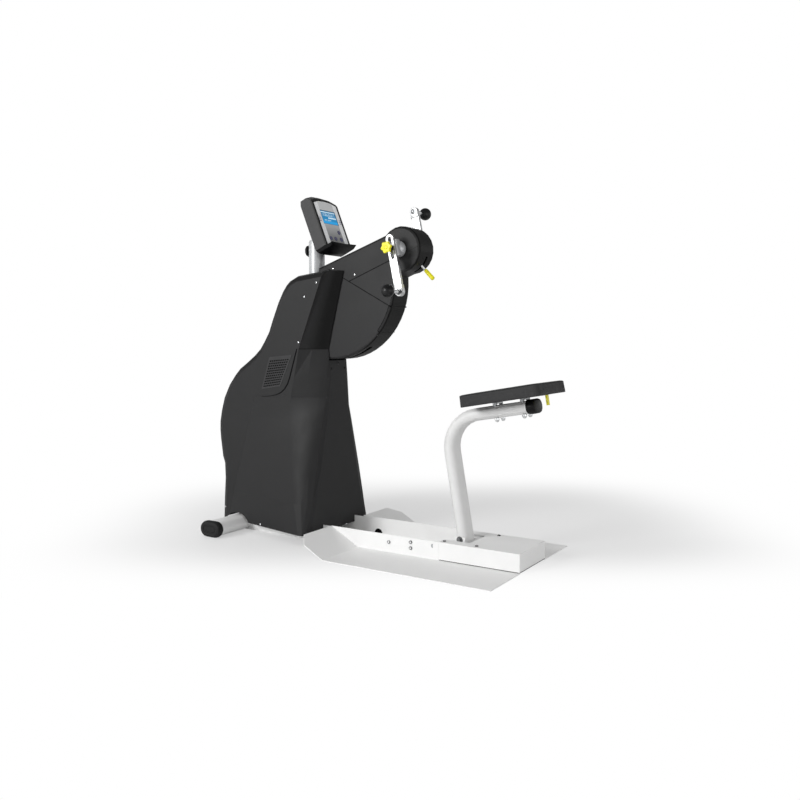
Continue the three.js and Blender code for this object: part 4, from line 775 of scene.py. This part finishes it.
class ERGO_OT_floor_frame(bpy.types.Operator):
    """Builds the beam, its cover, the floor plates, the stabiliser and their fasteners."""
    bl_idname = "ergo.floor_frame"
    bl_label = "Floor frame"
    bl_options = {"REGISTER", "UNDO"}

    def execute(self, context):
        edge = sizes().edge / MM
        for name in ("base_beam", "beam_cover", "foot_plate_left", "foot_plate_right", "post_bracket"):
            refined(name, "bent_" + name, bevel=edge)
        refined("rear_stabilizer", "shaped_rear_stabilizer", bevel=edge / 2)
        bolt = "post_clamp_bolt"
        refined(bolt, "shaped_" + bolt, "Bolt steel", bevel=edge / 2)
        washer = [(0, 0), (14, 0), (14, 1.2), (13, 2), (0, 2)]
        at = facing(spot(-298.7, -59.2, 82), (0, -1, 0))
        detail(turned(washer, at, 36), "clamp_washer", bolt, "Bolt steel")
        low, high = low_high("beam_cover", MM)
        gap_z = low.z + 1.1
        for side, sign in SIDES.items():
            self.cap("stabilizer_cap_" + side, sign)
            plate = "foot_plate_" + side
            wall_screws("wall_bolt_" + side, plate, sign, PLATE_WALL,
                        ((-603.2, 46.6), (-494.3, 60.8), (-494.3, 35.6)), 7.8, 4.3, "Bolt steel")
            screws("cover_bolt_" + side, "beam_cover", [(x, sign * 103.3, 79) for x in (-345.6, -198)],
                   (0, 0, 1), 6.9, 4.5, "Black plastic")
            # Painted shadow: a dark strip along the foot of the cover's side, where the gap over the plate
            # lies in shade
            gap = ribbon([(low.x + 1, gap_z), (high.x - 1, gap_z)], [2, 2])
            detail(on_wall(gap, sign, high.y, 0.2, 0.15), "painted_shadow_under_cover_" + side, "beam_cover")
            mark = half_round(-387.4, 59, 9, 90, 15)
            detail(on_wall(mark, sign, PLATE_WALL, 0.2, 0.2), "half_round_hole_" + side, plate, "Steel")
        # Painted shade: a dark half disc on the beam's far wall, where the cable's opening lies in shade
        mouth = half_round(-820, 7, 21, 0, 10)
        detail(on_wall(mouth, 1, BEAM_WALL, 0.3, 0.3), "painted_shade_cable_mouth", "base_beam")
        # Painted shadow: the same dark strip along the foot of the cover's end
        detail(block((0.4, 2 * high.y - 2, 2), (high.x, 0, gap_z)), "painted_shadow_under_cover_end", "beam_cover")
        return {"FINISHED"}

    def cap(self, name, sign):
        """Oval end cap with a ring groove in its outer face."""
        bm = merged(name)
        face = low_high(name)[1 if sign > 0 else 0].y
        end = [f for f in bm.faces
               if f.normal.y * sign > 0.99 and abs(f.calc_center_median().y - face) < 1 * MM]
        for width, depth in ((9, 0), (1, -2.4), (3, 0), (1, 1.6)):
            bmesh.ops.inset_region(bm, faces=end, thickness=width * MM, depth=depth * MM,
                                   use_even_offset=True)
        piece(bm, "shaped_" + name, name, bevel=0.8)


class ERGO_OT_arm(bpy.types.Operator):
    """Builds the covers of the tilting arm with their seams and screws."""
    bl_idname = "ergo.arm"
    bl_label = "Arm covers"
    bl_options = {"REGISTER", "UNDO"}

    def execute(self, context):
        for name in ("arm_cover_top", "arm_cover_lower", "sector_cover", "rim_cover"):
            refined(name, "smooth_" + name, "Arm plastic painted lighter", sharp=20.0, bevel=0.9, edges=55, even=True)
        for side, sign in SIDES.items():
            wall_screws("arm_screw_" + side, "arm_cover_top", sign, ARM_SIDE,
                        ((-938, 1215), (-821.3, 1184.4)), 4.2, 1.6)
            self.seams(side, sign)
        return {"FINISHED"}

    def seams(self, side, sign):
        """Dark lines where the covers meet, drawn from the pivot along the arm and up from it."""
        pivot, lean = PIVOT / MM, math.radians(20.86)
        rim, edge, first, last = 317.4, 329.4, -60.5, -38.5
        polar = [(edge, first), *((rim, first + (last - first) * i / 8) for i in range(9)), (edge, last)]
        ring = [(radius * math.cos(math.radians(turn)), radius * math.sin(math.radians(turn)))
                for radius, turn in polar]
        for name, like, width, path in (
                ("rim_seam_%s", "rim_cover", 2.4, ring),
                ("arm_seam_%s_1", "arm_cover_top", 3.2, ((92.1, -22.9), (352, -22.9))),
                ("arm_seam_%s_2", "sector_cover", 3.2, ((10, 69.6), (256, -207.6)))):
            line = [(pivot.x + x * math.cos(lean) - z * math.sin(lean),
                     pivot.z + x * math.sin(lean) + z * math.cos(lean)) for x, z in path]
            detail(on_wall(ribbon(line, [width] * len(line)), sign, ARM_SIDE, 0.5, 0.25), name % side, like)


class ERGO_OT_cranks(bpy.types.Operator):
    """Builds the hubs, slotted bars, spindles, balls and star knobs."""
    bl_idname = "ergo.cranks"
    bl_label = "Cranks"
    bl_options = {"REGISTER", "UNDO"}

    # In millimetres: from the axle to the ends of the bar and its slot, and outwards to the two faces
    tail, reach, slot_reach, slot_half = 39, 184, 46, 7.1
    bar_face, hub_face = 130, 113.7

    def execute(self, context):
        s = sizes()
        lean = middle("spindle_left") - AXLE
        for side in SIDES:
            own = Matrix.Translation(AXLE) @ Matrix.Rotation(math.atan2(-lean.x, -lean.z), 4, "Y")
            if side == "right":
                own = own @ Matrix.Rotation(math.pi, 4, "X")
            half = s.bar_width / 2 / MM
            self.bar(side, own, half, s.bar_thick / MM)
            self.hub(side, own, half)
            self.spindle(side, own @ Matrix.Translation((0, 0, -self.reach * MM)) @ OUTWARDS)
            self.ball(side, own @ Matrix.Translation(Vector((0, -212, -self.reach)) * MM) @ OUTWARDS, s.ball)
            self.star(side, own @ OUTWARDS, s.star, s.star_lobes)
        return {"FINISHED"}

    def bar(self, side, own, half, thick):
        """A round-ended bar with its long slot, and a raised block at the grip's end."""
        outer = flat_face(rectangle(-half, half, -self.reach - half, self.tail + half), half * 0.999)
        inner = flat_face(rectangle(-self.slot_half, self.slot_half, -self.slot_reach, self.slot_reach),
                          self.slot_half * 0.999)
        both = joined(outer, inner)
        bmesh.ops.delete(both, geom=list(both.faces), context="FACES_ONLY")
        bmesh.ops.bridge_loops(both, edges=list(both.edges))
        back = thick - self.bar_face
        bar = soften(thickened(both, -self.bar_face, back), 1.2, 3, 60)
        end = flat_face(rectangle(-half, half, -self.reach - half, -self.reach + 27), half * 0.999, 2)
        raised = soften(thickened(end, back - 1, back + 4), 0.8, 2, 60)
        piece(placed(joined(bar, raised), own), "slotted_bar_" + side, "crank_bar_" + side, "Bar aluminium")

    def hub(self, side, own, half):
        """A cone on the axle that carries the guide in which the bar slides."""
        start, cone_end = 64.5, self.hub_face - 18
        profile = [(0, start), (31, start), (34, start + 3), (34, start + 10), (24, cone_end), (0, cone_end)]
        cone = turned(profile, OUTWARDS, edge=0.9)
        out, cheek = half + 4.3, half + 0.3
        root, face = 6 - cone_end, -self.hub_face
        guide = face_of([(x, y, -34) for x, y in (
            (-out, root), (out, root), (out, face - 6), (cheek, face - 6), (cheek, face), (-cheek, face),
            (-cheek, face - 6), (-out, face - 6))])
        soften(pulled(guide, 0, 0, 68), 1.0)
        piece(placed(joined(cone, guide), own), "guide_hub_" + side, "hub_" + side, "Cast aluminium")

    def spindle(self, side, own):
        """The grip's spindle with its collar outside the bar and its nut inside."""
        like = "spindle_" + side
        pin = [(0, 111), (7, 111), (8, 112), (8, 185), (6.4, 186), (6.4, 206), (0, 206)]
        collar = [(0, 130.3), (13, 130.3), (13, 134.3), (12, 135.3), (0, 135.3)]
        nut = [(0, 104), (4, 104), (5.4, 105.2), (6, 106.8), (10.5, 107.2), (11.5, 108.2), (11.5, 109.8),
               (0, 109.8)]
        piece(turned(pin, own, edge=0.4), "grip_" + like, like)
        detail(turned(collar, own, 48, edge=0.4), "spindle_collar_" + side, like, "Dark steel")
        detail(turned(nut, own, 36), "spindle_nut_" + side, like, "Dark steel")

    def ball(self, side, own, radius):
        """A ball, cut flat at its inner end and hollowed there; its radius is in metres."""
        bm = bmesh.new()
        bmesh.ops.create_uvsphere(bm, u_segments=48, v_segments=32, radius=radius)
        cut = bmesh.ops.bisect_plane(bm, geom=[*bm.verts, *bm.edges, *bm.faces], clear_outer=True,
                                     plane_co=(0, 0, -radius * 0.955), plane_no=(0, 0, -1))
        inward = bmesh.ops.extrude_edge_only(bm, edges=only(bmesh.types.BMEdge, cut["geom_cut"]))["geom"]
        verts = only(bmesh.types.BMVert, inward)
        bmesh.ops.scale(bm, verts=verts, vec=(0.98, 0.98, 1.0))
        bmesh.ops.translate(bm, verts=verts, vec=(0, 0, 3 * MM))
        floor = bmesh.ops.extrude_edge_only(bm, edges=only(bmesh.types.BMEdge, inward))["geom"]
        bmesh.ops.pointmerge(bm, verts=only(bmesh.types.BMVert, floor), merge_co=(0, 0, -radius * 0.83))
        bmesh.ops.recalc_face_normals(bm, faces=bm.faces)
        piece(placed(bm, own), "ball_" + side, "ball_grip_" + side, sharp=50)

    def star(self, side, own, radius, lobes):
        """A lobed knob with its boss, its stud and a black neck; its radius is in metres."""
        like = "star_knob_" + side
        bm = bmesh.new()
        bmesh.ops.create_circle(bm, cap_ends=True, radius=radius, segments=lobes * 14)
        for vert in bm.verts:
            turn = math.atan2(vert.co.y, vert.co.x) * lobes
            vert.co *= 0.80 + 0.20 * (0.5 + 0.5 * math.cos(turn)) ** 0.75
        soften(pulled(bm, 0, 0, 13), 2.8, 5, 60)
        placed(bm, own @ Matrix.Translation((0, 0, 157.3 * MM)))
        boss = [(0, 168), (9.5, 168), (9.5, 171.6), (8.3, 172.4), (6, 172.4), (5.4, 170.8), (0, 170.6)]
        stud = [(0, 101), (6.4, 101), (6.4, 131), (0, 131)]
        piece(joined(bm, turned(boss, own, 36), turned(stud, own)), "star_" + side, like, sharp=40)
        neck = [(0, 130.3), (12, 130.3), (10.6, 134), (10.6, 158), (0, 158)]
        detail(turned(neck, own, edge=0.6), "star_neck_" + side, like, "Black plastic")


class ERGO_OT_release(bpy.types.Operator):
    """Builds the release lever's rod and grip."""
    bl_idname = "ergo.release"
    bl_label = "Release lever"
    bl_options = {"REGISTER", "UNDO"}

    def execute(self, context):
        refined("release_lever", "chrome_rod", sharp=50)
        grip = middle("lever_grip")
        turn = math.atan2(AXLE.z - grip.z, grip.x - AXLE.x)
        own = Matrix.Translation((AXLE.x, grip.y, AXLE.z)) @ Matrix.Rotation(turn, 4, "Y") @ ALONG_X
        profile = [(4.8, 143), (4.8, 120), (7.4, 120.6), (8.2, 124), (8.9, 170), (8, 174), (4, 176), (0, 176)]
        piece(turned(profile, own, edge=0.4), "lever_sleeve", "lever_grip", sharp=40)
        return {"FINISHED"}


class ERGO_OT_mast(bpy.types.Operator):
    """Builds the mast, the riser and the clamp knob."""
    bl_idname = "ergo.mast"
    bl_label = "Mast"
    bl_options = {"REGISTER", "UNDO"}

    def execute(self, context):
        low, high = low_high("mast", MM)
        outer = (high.y - low.y) / 2
        inner = outer - 3
        tube = [(outer, low.z), (outer, high.z), (inner, high.z), (inner, low.z), (outer, low.z)]
        piece(turned(tube, Matrix.Translation((middle("mast").x, 0, 0)), edge=0.7), "mast_tube", "mast")
        refined("console_riser", "smooth_riser", "Silver paint", sharp=40)
        refined("clamp_knob", "mast_clamp_knob", bevel=1.6, sharp=30)
        return {"FINISHED"}


class ERGO_OT_console(bpy.types.Operator):
    """Builds the console's shell, face, screen, tray and keys."""
    bl_idname = "ergo.console"
    bl_label = "Console"
    bl_options = {"REGISTER", "UNDO"}

    def execute(self, context):
        refined("console_back", "console_shell", "Console plastic", bevel=1.4, sharp=24)
        refined("console_face", "console_film", bevel=0.5)
        refined("display", "screen_glass", bevel=0.5)
        refined("console_tray", "lower_tray", bevel=2.5)
        profile = [(0, 76), (10, 76), (10, 86.8), (9.3, 87.6), (7.6, 88), (5, 87.4), (0, 87)]
        for name in ("key_1", "key_2", "key_3", "key_4"):
            centre = CONSOLE.inverted() @ middle(name)
            at = CONSOLE @ Matrix.Translation((0, centre.y, centre.z)) @ ALONG_X
            piece(turned(profile, at, 40), "round_" + name, name, sharp=50)
        for side, sign in SIDES.items():
            marks = [block((1, 5, 4.2), (FACE_X, sign * 74 + y, FACE_TOP - 90 - z))
                     for z in (-8, 0, 8) for y in (-4, 4)]
            detail(placed(joined(*marks), CONSOLE), "small_keys_" + side, "console_face", "Key plastic", 0.4)
        return {"FINISHED"}


class ERGO_OT_seat(bpy.types.Operator):
    """Builds the seat post, the rails, the lever and the padded seat."""
    bl_idname = "ergo.seat"
    bl_label = "Seat"
    bl_options = {"REGISTER", "UNDO"}

    def execute(self, context):
        refined("seat_post", "bent_post", "Grey coat", sharp=40)
        refined("post_end_cap", "post_cap", sharp=40)
        refined("seat_rails", "rails", "Steel", bevel=0.6)
        refined("seat_lever", "pull_lever", bevel=0.8)
        own = Matrix.Translation(spot(-390, 0, 574.5)) @ Matrix.Rotation(math.radians(-10.2), 4, "Y")
        self.acorn_nuts(own)
        skin = self.pad_skin(own)
        self.swell(skin, own.inverted(), sizes().pad_swell)
        bm = bmesh.new()
        bm.from_mesh(skin.data)
        old = skin.data
        bpy.data.objects.remove(skin)
        bpy.data.meshes.remove(old)
        pad = piece(bm, "padded_seat", "seat_pad", sharp=70)
        put(pad.modifiers.new("Finer", "SUBSURF"), levels=1, render_levels=1)
        return {"FINISHED"}

    def acorn_nuts(self, own):
        """Domed nuts under the post, over the plain nuts of the rails."""
        profile = [(0, 26.2), (10, 26.2), (10, 32.4), (8.6, 33.4), (8.2, 36), (6.4, 39.4), (3.4, 41.4),
                   (0, 42)]
        for count, (x, y) in enumerate(((240, -28), (240, 28), (360, -28), (360, 28)), 1):
            at = own @ Matrix.Translation((x * MM, y * MM, 0)) @ Matrix.Rotation(math.pi, 4, "X")
            detail(turned(profile, at, 30), "acorn_nut_%d" % count, "seat_rails", "Chrome")

    def pad_skin(self, own):
        """The pad's frame solid as an even skin of small squares."""
        rough = as_mesh(merged("seat_pad"), "pad_start")
        made = shown("pad_start", rough)
        put(made.modifiers.new("Even", "REMESH"), mode="VOXEL", voxel_size=4.2 * MM)
        even = bpy.data.meshes.new_from_object(made.evaluated_get(bpy.context.evaluated_depsgraph_get()))
        made.modifiers.clear()
        made.data = even
        bpy.data.meshes.remove(rough)
        self.round_corners(even, own, sizes().pad_corner)
        return made

    def round_corners(self, mesh, own, radius):
        """Draws the four upright corners in to a radius, in the pad's own coordinates."""
        inwards = own.inverted()
        places = [inwards @ vert.co for vert in mesh.vertices]
        low_x, high_x = min(at.x for at in places) + radius, max(at.x for at in places) - radius
        side = max(at.y for at in places) - radius
        for vert, at in zip(mesh.vertices, places):
            centre = Vector((min(max(at.x, low_x), high_x), min(max(at.y, -side), side), at.z))
            out = at - centre
            if out.length > radius:
                vert.co = own @ (centre + out.normalized() * radius)

    def swell(self, skin, inwards, cap):
        """Fills the skin with pressure as cloth; the underside stays, and no point moves further than cap."""
        # The underside, and the pocket that the board sits in, in the pad's own millimetres
        underside, pocket_x, pocket_half, pocket_top = 41, (147, 473), 129, 67
        start = [vert.co.copy() for vert in skin.data.vertices]
        held = skin.vertex_groups.new(name="Held")
        for index, co in enumerate(start):
            at = inwards @ co / MM
            pocket = pocket_x[0] < at.x < pocket_x[1] and abs(at.y) < pocket_half and at.z < pocket_top
            if at.z < underside or pocket:
                held.add([index], 1.0, "REPLACE")
        cloth = skin.modifiers.new("Cloth", "CLOTH")
        put(cloth.settings, quality=6, mass=0.3, tension_stiffness=40, compression_stiffness=40,
            shear_stiffness=20, bending_stiffness=4, use_pressure=True, uniform_pressure_force=4.0,
            vertex_group_mass=held.name)
        cloth.settings.effector_weights.gravity = 0.0
        last = 20
        put(cloth.point_cache, frame_start=1, frame_end=last)
        scene = bpy.context.scene
        for moment in range(1, last + 1):
            scene.frame_set(moment)
        filled = skin.evaluated_get(bpy.context.evaluated_depsgraph_get()).to_mesh()
        moved = [vert.co - at for vert, at in zip(filled.vertices, start)]
        for vert, at, step in zip(skin.data.vertices, start, moved):
            vert.co = at + step * min(1.0, cap / max(step.length, 1e-9))
        skin.modifiers.clear()
        scene.frame_set(1)


class ERGO_OT_stage(bpy.types.Operator):
    """Sets the floor, the room light, the lamps and the camera."""
    bl_idname = "ergo.stage"
    bl_label = "Stage"
    bl_options = {"REGISTER", "UNDO"}

    def execute(self, context):
        s = context.scene.ergo_studio
        self.camera(context.scene, s)
        self.world(context.scene, s)
        self.floor(s)
        self.lamp("Key lamp", (-2.3, -5.3, 2.5), (-0.1, 0, 0.75), 2.2, s.key)
        self.lamp("Side lamp", (4.8, -1.6, 1.4), (0, 0, 0.6), 2.6, s.fill * 2.4)
        self.lamp("Back lamp", (-3.6, 3.6, 3.8), (-0.2, 0, 0.9), 2.6, s.fill)
        return {"FINISHED"}

    def camera(self, scene, s):
        data = put(bpy.data.cameras.new("Camera"), sensor_fit="HORIZONTAL", sensor_width=36, lens=s.lens,
                   clip_end=200)
        scene.camera = put(shown("Camera", data), location=s.camera,
                           rotation_euler=(math.radians(90) - s.pitch, 0, s.turn))
        scene.view_settings.view_transform = "Standard"

    def lamp(self, name, place, aim, size, power):
        data = put(bpy.data.lights.new(name, "AREA"), shape="DISK", size=size, energy=power)
        turn = (Vector(aim) - Vector(place)).to_track_quat("-Z", "Y").to_euler()
        put(shown(name, data), location=place, rotation_euler=turn)

    def world(self, scene, s):
        """Even room light on the object; the camera, metal and glass see a pale horizon."""
        world = scene.world = bpy.data.worlds.new("Room")
        world.use_nodes = True
        tree = world.node_tree
        rays = node(tree, "LightPath").outputs
        seen = maths(tree, "MAXIMUM", rays["Is Camera Ray"], rays["Is Glossy Ray"])
        seen = maths(tree, "MAXIMUM", seen, rays["Is Transmission Ray"])
        _, _, height = split(tree, node(tree, "TexCoord").outputs["Generated"])
        lit = ramp(tree, height, 0.1, 0.9, s.sky, s.sky * 0.6)
        mirrored = maths(tree, "MAXIMUM", ramp(tree, height, 0.05, 0.5, 1.0, 0.22), rays["Is Camera Ray"])
        strength = node(tree, "Mix", Factor=seen, A=lit, B=mirrored).outputs[0]
        give(tree, tree.nodes["Background"], Color=(1, 1, 1, 1), Strength=strength)

    def floor(self, s):
        """A pale floor that keeps the shadows; for the camera it fades to white outside a zone of painted
        shade behind the object.
        """
        bm = bmesh.new()
        bmesh.ops.create_grid(bm, x_segments=8, y_segments=8, size=40)
        mesh = as_mesh(bm, "Floor")
        floor = shown("Floor", mesh)
        floor.location.z = -0.4 * MM
        tree, shader, where = blank("Floor", 0.6, Specular_IOR_Level=0.15)
        mottle = noise(tree, where, 3.0, 3.0)
        give(tree, shader, Base_Color=(*s.floor, 1), Roughness=ramp(tree, mottle, 0.3, 0.7, 0.55, 0.65))
        away = Vector((-math.sin(s.turn), math.cos(s.turn), 0))
        aside = Vector((math.cos(s.turn), math.sin(s.turn), 0))
        depth, lateral = (
            maths(tree, "SUBTRACT", along(tree, where, direction), direction.dot(Vector(s.camera)))
            for direction in (away, aside))
        # Metres from the camera's place at which the zone of painted shade comes in and goes, and its middle
        # line
        comes, goes, narrows, middle_line, least_white = (2.85, 3.7), (4.2, 5.7), (0.7, 2.0), 0.1, 0.4
        lateral = maths(tree, "ABSOLUTE", maths(tree, "SUBTRACT", lateral, middle_line))
        # The zone shows the floor's real shading and shadows; where it lies and how it fades are painted
        # shade
        grey = times(tree, ramp(tree, depth, *comes), ramp(tree, depth, *goes, 1.0, 0.0),
                     ramp(tree, lateral, *narrows, 1.0, 0.0))
        fade = times(tree, ramp(tree, grey, 0.0, 1.0, 1.0, least_white),
                     node(tree, "LightPath").outputs["Is Camera Ray"])
        mix = node(tree, "MixShader")
        white = node(tree, "Emission", Strength=1.0).outputs["Emission"]
        for socket, value in zip(mix.inputs, (fade, shader.outputs["BSDF"], white)):
            feed(tree, socket, value)
        give(tree, tree.nodes["Material Output"], Surface=mix.outputs["Shader"])
        mesh.materials.append(MATERIALS["Floor"])


STEPS = (ERGO_OT_materials, ERGO_OT_housing, ERGO_OT_floor_frame, ERGO_OT_arm, ERGO_OT_cranks,
         ERGO_OT_release, ERGO_OT_mast, ERGO_OT_console, ERGO_OT_seat, ERGO_OT_stage)


class ERGO_PT_panel(bpy.types.Panel):
    """Lists the sizes, colours and build steps."""
    bl_idname = "ERGO_PT_panel"
    bl_label = "Arm ergometer"
    bl_space_type = "VIEW_3D"
    bl_region_type = "UI"
    bl_category = "Ergometer"

    def draw(self, context):
        for group in (context.scene.ergo_sizes, context.scene.ergo_colours, context.scene.ergo_studio):
            column = self.layout.column()
            for key in group.__annotations__:
                column.prop(group, key)
        for step in STEPS:
            self.layout.operator(step.bl_idname)


GROUPS_OF_VALUES = {"ergo_sizes": ErgoSizes, "ergo_colours": ErgoColours, "ergo_studio": ErgoStudio}
CLASSES = (*GROUPS_OF_VALUES.values(), *STEPS, ERGO_PT_panel)


def register():
    for each in CLASSES:
        bpy.utils.register_class(each)
    for name, group in GROUPS_OF_VALUES.items():
        setattr(bpy.types.Scene, name, PointerProperty(type=group))


def unregister():
    for name in GROUPS_OF_VALUES:
        delattr(bpy.types.Scene, name)
    for each in reversed(CLASSES):
        bpy.utils.unregister_class(each)


def main():
    register()
    for step in STEPS:
        group, name = step.bl_idname.split(".")
        getattr(getattr(bpy.ops, group), name)()


if __name__ == "__main__":
    main()
